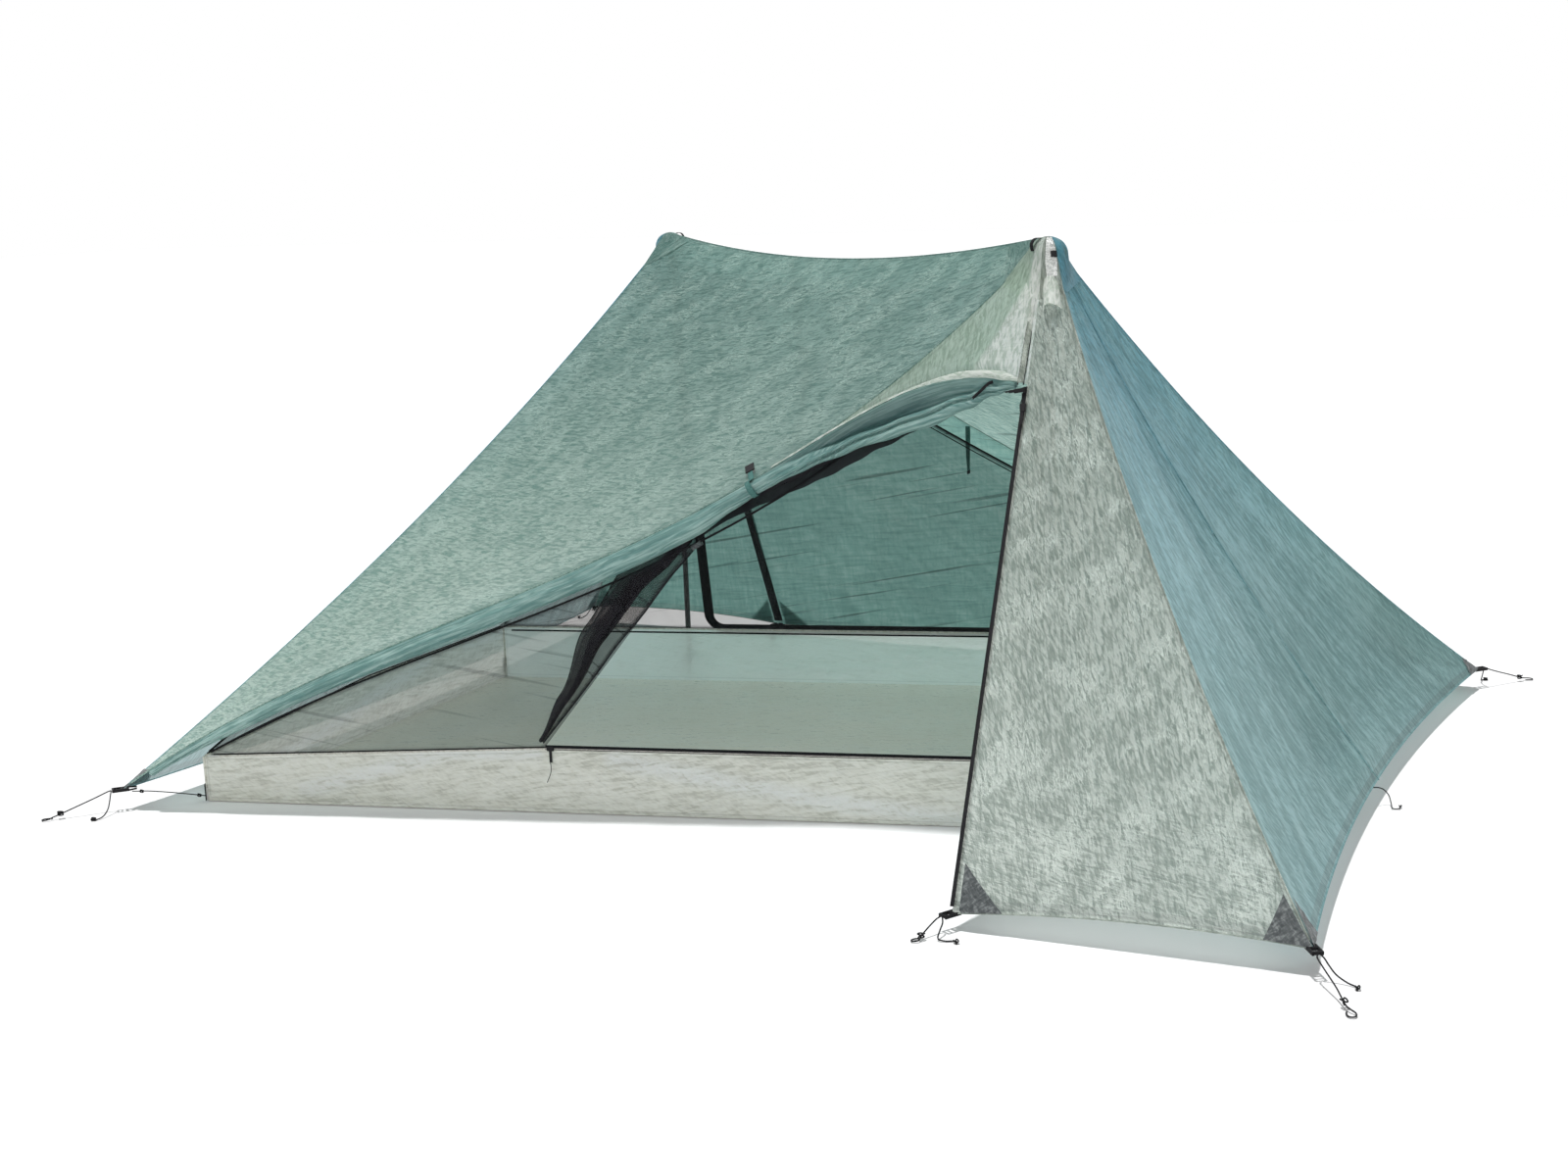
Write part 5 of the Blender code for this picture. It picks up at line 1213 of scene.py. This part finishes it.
WEBBING_LOOP = (
    (-0.030, 0, 0.0022), (-0.020, 0, 0.0030), (-0.0125, 0, 0.0034), (-0.0092, 0, 0.0012),
    (-0.0092, 0, -0.0014), (-0.0125, 0, -0.0034), (-0.020, 0, -0.0030), (-0.030, 0, -0.0022),
)
# A line lock: the centre and size of its side rails, cross bars and teeth
LOCK_LENGTH = 0.036
LOCK_LEAD = 0.00432
LOCK_BARS = (
    ((LOCK_LEAD, 0.0084, 0), (LOCK_LENGTH, 0.0032, 0.0066)),
    ((LOCK_LEAD, -0.0084, 0), (LOCK_LENGTH, 0.0032, 0.0066)),
    ((LOCK_LEAD - 0.0160, 0, 0), (0.004, 0.018, 0.0045)),
    ((LOCK_LEAD - 0.0030, 0, 0.0008), (0.0055, 0.018, 0.0055)),
    ((LOCK_LEAD + 0.0075, 0, -0.0012), (0.0032, 0.018, 0.0036)),
    ((LOCK_LEAD + 0.0162, 0, 0.0006), (0.0036, 0.019, 0.0056)),
    *(((LOCK_LEAD - 0.0048 + 0.0013 * tooth, 0, 0.0034), (0.0006, 0.015, 0.0008)) for tooth in range(4)),
)


def knot(name, centre, along, size, radius, material, body="shelter"):
    """An overhand knot, pulled tight."""
    t = np.linspace(0, math.tau, 49)
    points = np.stack((1.1 * size * np.sin(3 * t), size * (np.sin(t) + 1.1 * np.sin(2 * t)) / 2.1,
                       size * (np.cos(t) - 1.1 * np.cos(2 * t)) / 2.1), axis=-1)
    return tube(name, in_frame(frame_matrix(centre, along), points), radius, material, body=body)


def free_cord(name, line, diameter, material, far_end="knot", lay="loose", pieces=(), **others):
    obj = tube(name, line, diameter / 2, material, **others)
    round(float(run_along(line)[-1]), 4)


def make_guys():
    radius = GUY_DIAMETER / 2
    for word, (corner, angle, side, body) in CORNERS.items():
        heading = turned(place(math.cos(angle), math.sin(angle), 0), side)
        matrix = frame_matrix(turned(corner, side), heading)
        ground = matrix.copy()
        ground[2, 3] = 0
        short = word.startswith("door")
        tail = smooth_line(in_frame(ground, SHORT_TAIL if short else LONG_TAIL), 0.003)
        line = smooth_line(in_frame(ground, SHORT_LINE if short else LONG_LINE), 0.003)
        blocks("lock_" + word, matrix, LOCK_BARS, 0.0006, body=body, replaced=["tensioner_" + word])
        loop = smooth_line(in_frame(matrix, WEBBING_LOOP), 0.002)
        ribbon_strip("webbing_" + word, loop, matrix[:3, 1],
                     0.012, 0.0010, "binding_tape", body=body)
        tail_knot = knot("tail_knot_" + word, tail[-3] + UP * 0.002, tail[-1] - tail[-2], 0.0040,
                         radius * 0.9, "guy_braid", body)
        first_half = line[:len(line) // 2 + 8]
        near = first_half[np.argmin(np.linalg.norm(first_half - line[-1], axis=1))]
        line_knot = knot("line_knot_" + word, near + UP * 0.002, heading, 0.0052, radius, "guy_braid",
                         body)
        free_cord("guy_" + word, line, GUY_DIAMETER, "guy_braid", lay="taut", pieces=[line_knot],
                  body=body, replaced=["guy_line_" + word])
        free_cord("guy_tail_" + word, tail, GUY_DIAMETER, "guy_braid", pieces=[tail_knot], body=body)


FLOOR_CORD = (
    (-1.1465, -0.8675, 0.012), (-1.17, -0.888, 0.019), (-1.20, -0.915, 0.028),
    (-1.235, -0.947, 0.037), (-1.262, -0.9705, 0.0405),
)
SIDE_CORD = (
    (1.1475, -0.300, 0.03), (1.16, -0.24, 0.034), (1.18, -0.15, 0.038), (1.203, -0.07, 0.040),
    (1.222, -0.045, 0.036), (1.236, -0.038, 0.022), (1.244, -0.05, 0.008), (1.25, -0.066, 0.0022),
    (1.262, -0.062, 0.0018), (1.262, -0.046, 0.0018),
)


def make_inner_cords():
    radius = FINE_CORD_DIAMETER / 2
    for side, floor_word, side_word in ((1, "left", "right"), (-1, "right", "left")):
        line = smooth_line(turned(np.array(FLOOR_CORD), side), 0.004)
        free_cord("floor_tie_" + floor_word, line, FINE_CORD_DIAMETER, "fine_braid", "object", "taut",
                  replaced=["floor_cord_" + floor_word])
        for share, label in ((0.10, "low"), (0.86, "high")):
            knot("floor_knot_%s_%s" % (label, floor_word), line[int(share * len(line))],
                 line[1] - line[0], 0.0032, radius, "fine_braid")
        line = smooth_line(turned(np.array(SIDE_CORD), side), 0.004)
        end_knot = knot("side_knot_" + side_word, line[-2] + UP * 0.0012, line[-1] - line[-2], 0.003,
                        radius * 0.8, "fine_braid")
        free_cord("side_tie_" + side_word, line, FINE_CORD_DIAMETER, "fine_braid", pieces=[end_knot],
                  replaced=["side_cord_" + side_word])


# Inner tent

CLOTH_LIFT = UP * 0.0012


def tub_belly(across, down, x, y):
    """A tub wall leans out a little at its middle, wavers, and crumples along the lines where its
    highlights are painted.
    """
    lean = 0.006 * np.sin(math.pi * down) * (0.5 + 0.5 * relief(across * 7, down * 1.5, 9))
    spots = np.stack((x, y, 0 * x), axis=-1)
    total = 0 * x
    for start, end, width, weight in TUB_HIGHLIGHT_BANDS:
        away = distance_to_lines(spots, [[np.array((*start, 0.0)), np.array((*end, 0.0))]])
        total = np.maximum(total, weight * (1 - smooth_step(away, 0.25 * width, 0.9 * width)))
    return lean + 0.007 * total * np.abs(relief(x / 0.035 + 40, y / 0.014 + 20, 91))


def make_tub():
    far_edge = straight(turned(FLOOR_RIGHT, -1), FLOOR_FAR)
    floor = panel_grid(between(floor_front, far_edge), 60, 110, 0.0)[0]
    floor = floor + CLOTH_LIFT
    x, y = floor @ FLOOR_ALONG, floor @ FLOOR_INWARD
    seam = edge_distance(floor)
    wave = 0.0022 * (1 + relief(x / 0.14 + 20, y / 0.10 + 20, 4)) * smooth_step(seam, 0, 0.05)
    floor = floor + UP * wave[..., None]
    sheet = cloth("tub_floor", floor, "tub_floor", x, y, seam, replaced=["bathtub_floor"])
    round(surface_area(floor), 3)
    long_wall = between(side_rim, lambda share: floor_front(share) + CLOTH_LIFT)
    short_wall = between(end_rim, lambda share: floor_end(share) + CLOTH_LIFT)
    for side, word, end_word in ((1, "front", "right"), (-1, "rear", "left")):
        sewn_panel("tub_wall_" + word, on_side(long_wall, side), "tub" if side > 0 else "tub_inside",
                   (36, 260), 0.0, ["bathtub_floor"], (), 0.004, 71 + side, tub_belly, 0.03)
        sewn_panel("tub_end_" + end_word, on_side(short_wall, side), "tub", (20, 80), 0.0,
                   ["bathtub_floor"], (), 0.004, 81 + side, tub_belly, 0.03)
        for curve, label in ((tub_rim, word), (tub_end_rim, "end_" + end_word)):
            piping("rim_" + label, on_side(curve, side), RIM_RADIUS, "tub", 0.004, 0.996)
        for foot, rim, label in ((FLOOR_LEFT, side_rim(0), "low"), (FLOOR_RIGHT, side_rim(1), "high")):
            line = turned(np.linspace(foot + UP * 0.003, rim, 20), side)
            tube("tub_corner_%s_%s" % (label, word), line, 0.0028, "tub")
            away = turned(unit(place(foot[0], foot[1], 0)), side)
            ribbon_strip("tub_tab_%s_%s" % (label, word), line[:8] + away * 0.0036, np.cross(UP, away),
                         0.016, 0.0016, "binding_tape")


# Net panels: their surface, grid, share where they start, and the corner, reach, count, height and
# seed of their folds
NET_END = ruled(inner_end_seam, inner_end_hip, tub_end_rim)
NETS = (
    ("roof_front", ruled(stretch(inner_open_hip, 1, 0), stretch(on_side(inner_end_hip, -1), 1, 0),
                         inner_ridge), (60, 60), 0.02, (TUB_LEFT, 0.4, 40, 0.004), 101),
    ("roof_rear", ruled(stretch(on_side(inner_closed_hip, -1), 1, 0), stretch(inner_end_hip, 1, 0),
                        stretch(inner_ridge, 1, 0)), (60, 60), 0.02,
     (turned(TUB_LEFT, -1), 0.4, 40, 0.004), 103),
    ("end_right", NET_END, (60, 50), 0.02, (INNER_PEAK, 0.5, 30, 0.005), 106),
    ("end_left", on_side(NET_END, -1), (60, 50), 0.02, (turned(INNER_PEAK, -1), 0.5, 30, 0.005), 104),
    ("rear_wall", on_side(ruled(inner_closed_hip, inner_end_seam, tub_rim), -1), (70, 90), 0.02,
     (turned(INNER_PEAK, -1), 0.5, 36, 0.006), 111),
    ("front_side", ruled(stretch(tub_rim, 0, TUB_RISE_SHARE), stretch(inner_open_hip, 1, DOOR_TIE_SHARE),
                         straight(door_hinge_foot, door_tie)), (60, 40), 0.02,
     (door_tie, 0.3, 26, 0.006), 113),
    ("front_end", ruled(straight(INNER_PEAK, door_corner), inner_end_seam,
                        straight(door_corner, TUB_RIGHT)), (60, 30), 0.05,
     (INNER_PEAK, 0.4, 30, 0.004), 115),
)


def make_nets():
    for word, face, size, first, folds, seed in NETS:
        sewn_panel("net_" + word, face, "rear_net" if word == "rear_wall" else "net", size, first,
                   ["mesh_" + word], [folds], folds[-1], seed, clear_edge=0.08)


def make_bindings():
    """Black tape over the seams of the inner tent."""
    for word, curve, side in (
            ("ridge", inner_ridge, 1), ("open_hip", inner_open_hip, 1),
            ("rear_hip", inner_closed_hip, -1), ("end_hip_right", inner_end_hip, 1),
            ("end_hip_left", inner_end_hip, -1), ("end_seam_right", inner_end_seam, 1),
            ("end_seam_left", inner_end_seam, -1)):
        piping("binding_" + word, on_side(curve, side), BINDING_RADIUS, "binding_tape", 0.02)
    piping("binding_rear_hip_low", on_side(inner_closed_hip, -1), 0.0014, "binding_tape", 0.02,
           drop=0.013)
    for side, word, radius, last, drop in ((1, "front", FINE_BINDING_RADIUS, 0.34, -0.003),
                                           (-1, "rear", RIM_RADIUS, 0.99, 0.010)):
        piping("binding_rim_" + word, on_side(tub_rim, side), radius, "binding_tape", last=last,
               drop=drop)
        piping("binding_end_rim_" + word, on_side(tub_end_rim, side), FINE_BINDING_RADIUS,
               "binding_tape", drop=-0.003)


# Mesh door tied back: share along it, how far its folds reach, and how deep they stand
BUNCH_ROWS = (
    (0.0, 0.012, 0.010), (0.10, 0.034, 0.022), (0.24, 0.078, 0.034), (0.36, 0.088, 0.030),
    (0.45, 0.050, 0.020), (0.50, 0.030, 0.012), (0.56, 0.040, 0.014), (0.66, 0.056, 0.016),
    (0.78, 0.062, 0.014), (0.90, 0.050, 0.012), (1.0, 0.022, 0.008),
)
# Its low edge under the hip, past the tie: share of the way, and how far it hangs under the inner hip
BUNCH_DROPS = (
    (0.0, -0.010), (0.1, -0.013), (0.21, -0.008), (0.315, 0.0), (0.42, 0.010), (0.52, 0.021),
    (0.63, 0.034), (0.73, 0.050), (0.84, 0.066), (0.94, 0.082), (1.0, 0.086),
)
# The folds across it: shares of the reach and of the depth. The middle ones lie tight together.
BUNCH_FOLDS = (
    (0.0, 0.0), (0.30, -0.30), (0.62, -0.45), (0.97, -0.20), (1.0, 0.05), (0.80, 0.15), (0.52, 0.05),
    (0.40, -0.10), (0.60, -0.22), (0.70, 0.0), (0.50, 0.22), (0.42, 0.05), (0.58, 0.30), (0.72, 0.20),
    (0.52, 0.42), (0.36, 0.36), (0.62, 0.52), (0.66, 0.66), (0.46, 0.62), (0.60, 0.80), (0.86, 0.66),
    (0.94, 0.48),
)
BUNCH_HIP_SHARE = 0.8
NET_DOOR_LENGTH = 1.1


def make_net_door():
    """The mesh door is gathered along its hinge up to the tie, and from there along the hip."""
    shares = np.linspace(0, 1, 170)
    reach, depth = (table_value(BUNCH_ROWS, shares, column) for column in (1, 2))
    tie = door_tie + DOWN * 0.004
    start = door_hinge_foot + UP * 0.0114
    past = np.clip((shares - 0.5) / 0.5, 0, 1)
    hip = inner_open_hip(DOOR_TIE_SHARE * (1 - past * BUNCH_HIP_SHARE))
    hip = hip + DOWN * table_value(BUNCH_DROPS, past, 1)[:, None]
    rise = straight(start, tie)(np.clip(shares / 0.5, 0, 1))
    line = np.where((shares < 0.5)[:, None], rise, hip)
    hinge = unit(tie - start)
    left = -unit(FLOOR_ALONG - hinge * (FLOOR_ALONG @ hinge))
    hip_along = unit(line[-1] - tie)
    hip_up = unit(UP - hip_along * (UP @ hip_along))
    turn = smooth_step(shares, 0.46, 0.54)[:, None]
    away = unit(left * (1 - turn) + hip_up * turn)
    front = unit(np.cross(hinge, left))
    front = front if front[1] < 0 else -front
    folds = flat_outline(BUNCH_FOLDS, 0.035)
    phase = np.linspace(0, 1, len(folds))
    where = shares[:, None]
    sway = 1 + 0.16 * relief(where * 7, phase * 6, 17)
    shift = 0.05 * relief(where * 12, phase * 9 + 4, 18)
    across = (folds[:, 0] * sway + shift) * reach[:, None]
    deep = folds[:, 1] * depth[:, None] + 0.0012 * relief(where * 40, phase * 12, 19)
    rings = line[:, None] + away[:, None] * across[..., None] + front * deep[..., None]
    around = run_along(rings, 1)
    edge = np.minimum(around, around[:, -1:] - around) * (where < 0.5)
    door = cloth("net_door", rings, "bunched_net", around, run_along(line)[:, None], edge,
                 replaced=["mesh_front_door"])
    width = round(surface_area(rings) / NET_DOOR_LENGTH, 3)
    low = shares <= 0.5
    tube("net_door_hinge", rings[low, 0], 0.0013, "binding_tape", 6)
    tube("net_door_edge", rings[low, int(np.argmax(folds[:, 0]))], 0.0011, "binding_tape", 6)
    heart = np.minimum(0.0014 + 0.05 * reach * (shares > 0.02), 0.0034)
    tube("net_door_core", rings.mean(axis=1), heart, "bunched_net", 10)
    angle = np.linspace(0, math.tau, 14)[:, None]
    ring = tie + front * 0.016 * np.cos(angle) + unit(np.cross(front, hip_up)) * 0.012 * np.sin(angle)
    ribbon_strip("net_door_tie", ring, hip_up, 0.010, 0.001, "patch")


# Zips

ZIP_OUTLINE = ((0.5, 0.00), (0.5, 0.0004), (0.14, 0.0004), (0.12, 0.0014), (0.05, 0.0022),
               (-0.05, 0.0022), (-0.12, 0.0014), (-0.14, 0.0004), (-0.5, 0.0004), (-0.5, 0.0),
               (-0.14, -0.0006), (0.14, -0.0006))


def zip_tape(name, line, face, width, **others):
    """A coil zip: a flat tape with a ridge of teeth down its middle."""
    across = unit(np.cross(face, unit(np.gradient(line, axis=0))))
    rings = np.stack([line + across * width * a + face * b for a, b in ZIP_OUTLINE], axis=1)
    closed_skin(name, rings, "zip_coil", **others)


def inner_zip_line(face, first, last, lift):
    """Along the tub's rim and round the corner up to the peak, this far off the face."""
    top = INNER_PEAK[2] - TUB_HEIGHT
    bend = 0.04
    bend_across = bend / np.linalg.norm(door_corner - door_hinge_foot) * (last - first)
    bend_down = bend / top
    low = 1 - 0.0028 / top
    angle = np.linspace(0, math.pi / 2, 13)
    across = np.concatenate((np.linspace(first, last - bend_across, 40)[:-1],
                             last - bend_across * (1 - np.sin(angle)), np.full(40, last)))
    down = np.concatenate((np.full(39, low), low - bend_down * (1 - np.cos(angle)),
                           np.linspace(low - bend_down, 0.07, 41)[1:]))
    step = 0.004
    along = face(across + step, down) - face(across - step, down)
    rise = face(across, down - step) - face(across, down)
    return face(across, down) + unit(np.cross(along, rise)) * lift


# Metres from the peak to the top of the closed rear zip
REAR_ZIP_START = 0.14


def make_zips():
    for side, word, first, width, body in ((1, "front", ZIP_OPEN_SHARE, 0.012, "door"),
                                           (-1, "rear", REAR_ZIP_START / ZIP_LENGTH, 0.026, "shelter")):
        top, foot, corner = (turned(point, side) for point in (ZIP_OPEN, DOOR_FOOT, FRONT_RIGHT))
        face = unit(np.cross(unit(foot - top), corner - top))
        shares = np.linspace(first + 0.004 / ZIP_LENGTH, 1 - 0.012 / ZIP_LENGTH, 120)
        zip_tape("fly_chain_" + word, turned(zip_line(shares), side) - face * 0.0004, face, width,
                 body=body, replaced=["fly_zip_" + word])
    inner_faces = (
        (1, "front", ruled(straight(INNER_PEAK, door_hinge_foot), straight(INNER_PEAK, door_corner),
                           straight(door_hinge_foot, door_corner)), 0, 1, 0, 0.010),
        (-1, "rear", ruled(inner_closed_hip, inner_end_seam, tub_rim), TUB_RISE_SHARE,
         DOOR_CORNER_SHARE, 0.0036, 0.026),
    )
    for side, word, face, first, last, lift, width in inner_faces:
        line = even_line(turned(inner_zip_line(face, first, last, lift), side), 0.004)
        outward = unit(turned(-FLOOR_INWARD + UP * 0.45, side))
        zip_tape("inner_chain_" + word, line, outward, width, replaced=["inner_zip_" + word])


# Route of a pull cord: metres along the zip, out from it and down
PULL_CORD = ((0, 0, 0), (0.001, 0.001, 0.008), (0.001, 0.002, 0.018), (-0.002, 0.003, 0.028),
             (-0.006, 0.003, 0.037), (-0.009, 0.002, 0.043))


def make_pull_cords():
    """A short cord hangs from each slider of the inner doors."""
    for side, word in FRONT_AND_REAR:
        name = "inner_slider_" + word
        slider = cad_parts[name]
        corners = np.array([list(slider.matrix_world @ Vector(corner)) for corner in slider.bound_box])
        low, high = corners.min(axis=0), corners.max(axis=0)
        middle = (low + high) / 2
        out, along = turned(-FLOOR_INWARD, side), turned(FLOOR_ALONG, side)
        start = place(middle[0], middle[1], low[2] + 0.001) + out * 0.004
        line = smooth_line([start + along * a + out * b + DOWN * c for a, b, c in PULL_CORD], 0.002)
        free_cord("inner_pull_" + word, line, PULL_CORD_DIAMETER, "fine_braid", "bare", body=name)


# A vent hood, in metres down the door's zip and across it, and the clear window above it
HOOD_START = 0.07
HOOD_LENGTH = 0.075
HOOD_HALF_WIDTH = 0.016
HOOD_RISE = (0.006, 0.018)


def make_vent_hood(side, word):
    """A pleated hood on the door, wider and prouder at its foot, with a wire in its rim."""
    share = np.linspace(0, 1, 24)[:, None]
    angle = np.linspace(0, math.pi, 30)[None, :]
    down = (HOOD_START + HOOD_LENGTH * share) / ZIP_LENGTH
    width = np.linalg.norm(door_right(1, down) - door_right(0, down), axis=-1)
    spread = 0.55 + 0.45 * np.sin(math.pi / 2 * np.minimum(1, 1.6 * share))
    spots = door_right(0.5 + HOOD_HALF_WIDTH * spread / width * np.cos(angle), down + 0 * angle)
    out = unit(np.cross(door_right(0.5, down + 0.004) - door_right(0.5, down),
                        door_right(1, down) - door_right(0, down)))
    crumple = 0.0012 * relief(share * 11 + 3, angle * 4 + 2, 31) * np.sin(angle)
    rise = HOOD_RISE[0] + HOOD_RISE[1] * share
    points = spots + out * (0.0009 + rise * np.sin(angle) + crumple)[..., None]
    points = turned(points, side)
    hood = cloth("vent_hood_film_" + word, points, "header", angle * 0.012, HOOD_LENGTH * share,
                 replaced=["vent_hood_" + word])
    round(min(surface_area(points), 0.0052), 5)
    tube("vent_wire_" + word, points[-1], 0.0011, "header", 6)


def make_vents():
    for side, word in NEAR_AND_FAR:
        make_vent_hood(side, word)
        down = np.linspace(0.12, 0.72, 34)[:, None]
        narrow = 1 - 0.25 * smooth_step(down, 0.5, 0.72)
        across = 0.56 + 0.34 * np.linspace(-1, 1, 16)[None, :] * narrow
        shell = 0.0036 + 0.0009 * relief(down * 40, across * 14, 41)
        points = turned(gore_point("zip", "seam", across, down, shell), side)
        window = cloth("vent_window_" + word, points, "vent_window", 0.035 * across, 0.17 * down)
        area = surface_area(points)
        high, low = gore_point("zip", "seam", 0.70, np.array((0.43, 0.45)), 0.0065)
        facing = turned(unit(np.cross(place(0.8, 0.6, 0), high - low)), side)
        blocks("vent_catch_" + word, frame_matrix(turned(high, side), facing),
               [((0, 0, 0), (0.003, 0.012, 0.012))], 0.0008)


# The ribbon's ring round the roll: its middle under the hip, its reach and height, and the angles of
# its points
TIE_DROP = 0.0168
TIE_REACH = 0.0188
TIE_HEIGHT = 0.0180
TIE_ANGLES = (62, 35, 0, -35, -70, -110, -145, -175)
REAR_TIE_LENGTH = 0.12


def make_ties():
    """The ribbon round the rolled door and the one that hangs behind."""
    hip = open_hip(TIE_SHARE)
    roof_face = unit(np.cross(FAR_PEAK - hip, FRONT_LEFT - hip))
    along = unit(open_hip(TIE_SHARE + 0.004) - open_hip(TIE_SHARE - 0.004))
    upslope = unit(np.cross(roof_face, along))
    upslope = upslope if upslope[1] > 0 else -upslope
    up = unit(UP - along * along[2])
    across = np.cross(along, up)
    out = across if across[1] < 0 else -across
    centre = hip + DOWN * TIE_DROP
    points = [hip + upslope * 0.026 * lap + roof_face * 0.0028 * off
              for lap, off in ((1, 1.4), (0.5, 1.3), (0, 1.1))]
    for angle in TIE_ANGLES:
        turn = math.radians(angle)
        points.append(centre + out * TIE_REACH * math.cos(turn) + up * TIE_HEIGHT * math.sin(turn))
    line = smooth_line(points, 0.003)
    width = 0.012 + 0.0008 * relief(np.linspace(0, 6, len(line)), np.zeros(len(line)), 3)
    ribbon_strip("tie_ribbon", line, along, width, 0.0009, "ribbon_green", replaced=["tie_back_front"])
    rear_along = turned(closed_hip(REAR_TIE_SHARE + 0.004) - closed_hip(REAR_TIE_SHARE - 0.004), -1)
    flat = unit(place(rear_along[0], rear_along[1], 0))
    side_step = np.cross(UP, flat)
    top = turned(closed_hip(REAR_TIE_SHARE), -1) + DOWN * 0.0063
    line = smooth_line([top + (DOWN * drop + side_step * sway) * REAR_TIE_LENGTH for drop, sway in
                        ((0, 0), (0.25, 0.02), (0.5, -0.03), (0.75, 0.01), (1, 0.05))], 0.003)
    twist = np.linspace(0, 1.2, len(line))[:, None]
    across = flat * np.cos(twist) + side_step * np.sin(twist)
    ribbon_strip("rear_tie_ribbon", line, across, 0.012, 0.0009, "ribbon_green",
                 replaced=["tie_back_rear"])
    ribbon_strip("rear_tie_end", line[-4:] + DOWN * 0.002, across[-4:], 0.0135, 0.002, "binding_tape")


def finish_nodes():
    """Better finishes on the frame's own rigid parts."""
    finishes = {"pole_grip": "cork", "pole_upper": "shaft_anodised",
                "pole_lower": "lower_shaft_anodised"}
    for name, node_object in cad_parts.items():
        finish = materials[finishes.get(name[:10].rstrip("_"), "acetal_black")]
        if not node_object.hide_render:
            for holder in node_object.material_slots:
                holder.material = finish


# Camera and light

# Camera fitted to the photograph
CAMERA_PLACE = (1.884, -4.065, 1.289)
CAMERA_YAW = 0.463
CAMERA_PITCH = -0.211
CAMERA_ROLL = -0.036
CAMERA_LENS = 45.8
CAMERA_SENSOR = 36
CAMERA_SHIFT = 0.01306


def make_camera():
    cos_pitch = math.cos(CAMERA_PITCH)
    ahead = place(-math.sin(CAMERA_YAW) * cos_pitch, math.cos(CAMERA_YAW) * cos_pitch,
                  math.sin(CAMERA_PITCH))
    right = place(math.cos(CAMERA_YAW), math.sin(CAMERA_YAW), 0)
    above = np.cross(right, ahead)
    rolled_right = right * math.cos(CAMERA_ROLL) + above * math.sin(CAMERA_ROLL)
    rolled_up = above * math.cos(CAMERA_ROLL) - right * math.sin(CAMERA_ROLL)
    matrix = np.eye(4)
    matrix[:3] = np.column_stack((rolled_right, rolled_up, -ahead, CAMERA_PLACE))
    data = bpy.data.cameras.new("camera")
    data.lens = CAMERA_LENS
    data.sensor_width = CAMERA_SENSOR
    data.shift_y = CAMERA_SHIFT
    camera = bpy.data.objects.new("camera", data)
    camera.matrix_world = Matrix(matrix.tolist())
    bpy.context.scene.collection.objects.link(camera)
    bpy.context.scene.camera = camera


def seen_directly(nodes):
    """1 for rays that show the surroundings: from the camera, in a reflection or through glass."""
    camera, glossy, through = (nodes("LightPath", output="Is %s Ray" % kind)
                               for kind in ("Camera", "Glossy", "Transmission"))
    return camera.most(glossy).most(through)


SUN_TRAVEL = (0.12, 0.08, -1.0)
SUN_STRENGTH = 2.75
SUN_SPREAD = 4
FILL_TRAVEL = (-0.25, 0.9, -0.35)
FILL_STRENGTH = 0.7
FILL_SPREAD = 50
AMBIENT = 0.29
WHITE = (1, 1, 1)


def make_light():
    world = bpy.data.worlds.new("studio")
    nodes = Nodes(world)
    soft, white = (nodes("Background", {"Color": WHITE, "Strength": strength})
                   for strength in (AMBIENT, 1.0))
    nodes.finish(nodes.layers(seen_directly(nodes), soft, white), "World")
    bpy.context.scene.world = world
    for name, travel, strength, spread in (("key", SUN_TRAVEL, SUN_STRENGTH, SUN_SPREAD),
                                           ("fill", FILL_TRAVEL, FILL_STRENGTH, FILL_SPREAD)):
        sun = bpy.data.lights.new(name, "SUN")
        sun.energy = strength
        sun.angle = math.radians(spread)
        lamp = bpy.data.objects.new(name, sun)
        lamp.rotation_euler = Vector(travel).to_track_quat("-Z", "Y").to_euler()
        bpy.context.scene.collection.objects.link(lamp)


FLOOR_LIFT = 0.04
FLOOR_SIZE = 40.0
FLOOR_DROP = 0.001


def make_floor():
    nodes = new_material("studio_floor")
    colour = nodes.ramp(nodes.noise(nodes.spot(), 0.7, 2.0), (0.2, (0.87, 0.87, 0.875)),
                        (0.8, (0.9, 0.9, 0.905)))
    matt = nodes("BsdfDiffuse", {"Color": colour})
    glow = nodes("Emission", {"Color": WHITE, "Strength": seen_directly(nodes) * FLOOR_LIFT})
    nodes.finish(nodes("AddShader", {0: matt, 1: glow}))
    corners = ((-1, -1), (1, -1), (1, 1), (-1, 1))
    verts = [(x * FLOOR_SIZE, y * FLOOR_SIZE, -FLOOR_DROP) for x, y in corners]
    make_mesh("studio_floor", verts, [[0, 1, 2, 3]], "studio_floor", body=None, flat=True)


bpy.context.scene.view_settings.view_transform = "Standard"
for make in (make_camera, make_light, make_floor, make_guys, make_inner_cords, make_fly, make_header,
             make_toggle, make_roll, make_edges, make_patches, make_caps, make_tub, make_nets,
             make_bindings, make_net_door, make_zips, make_pull_cords, make_vents, make_ties,
             finish_nodes):
    make()
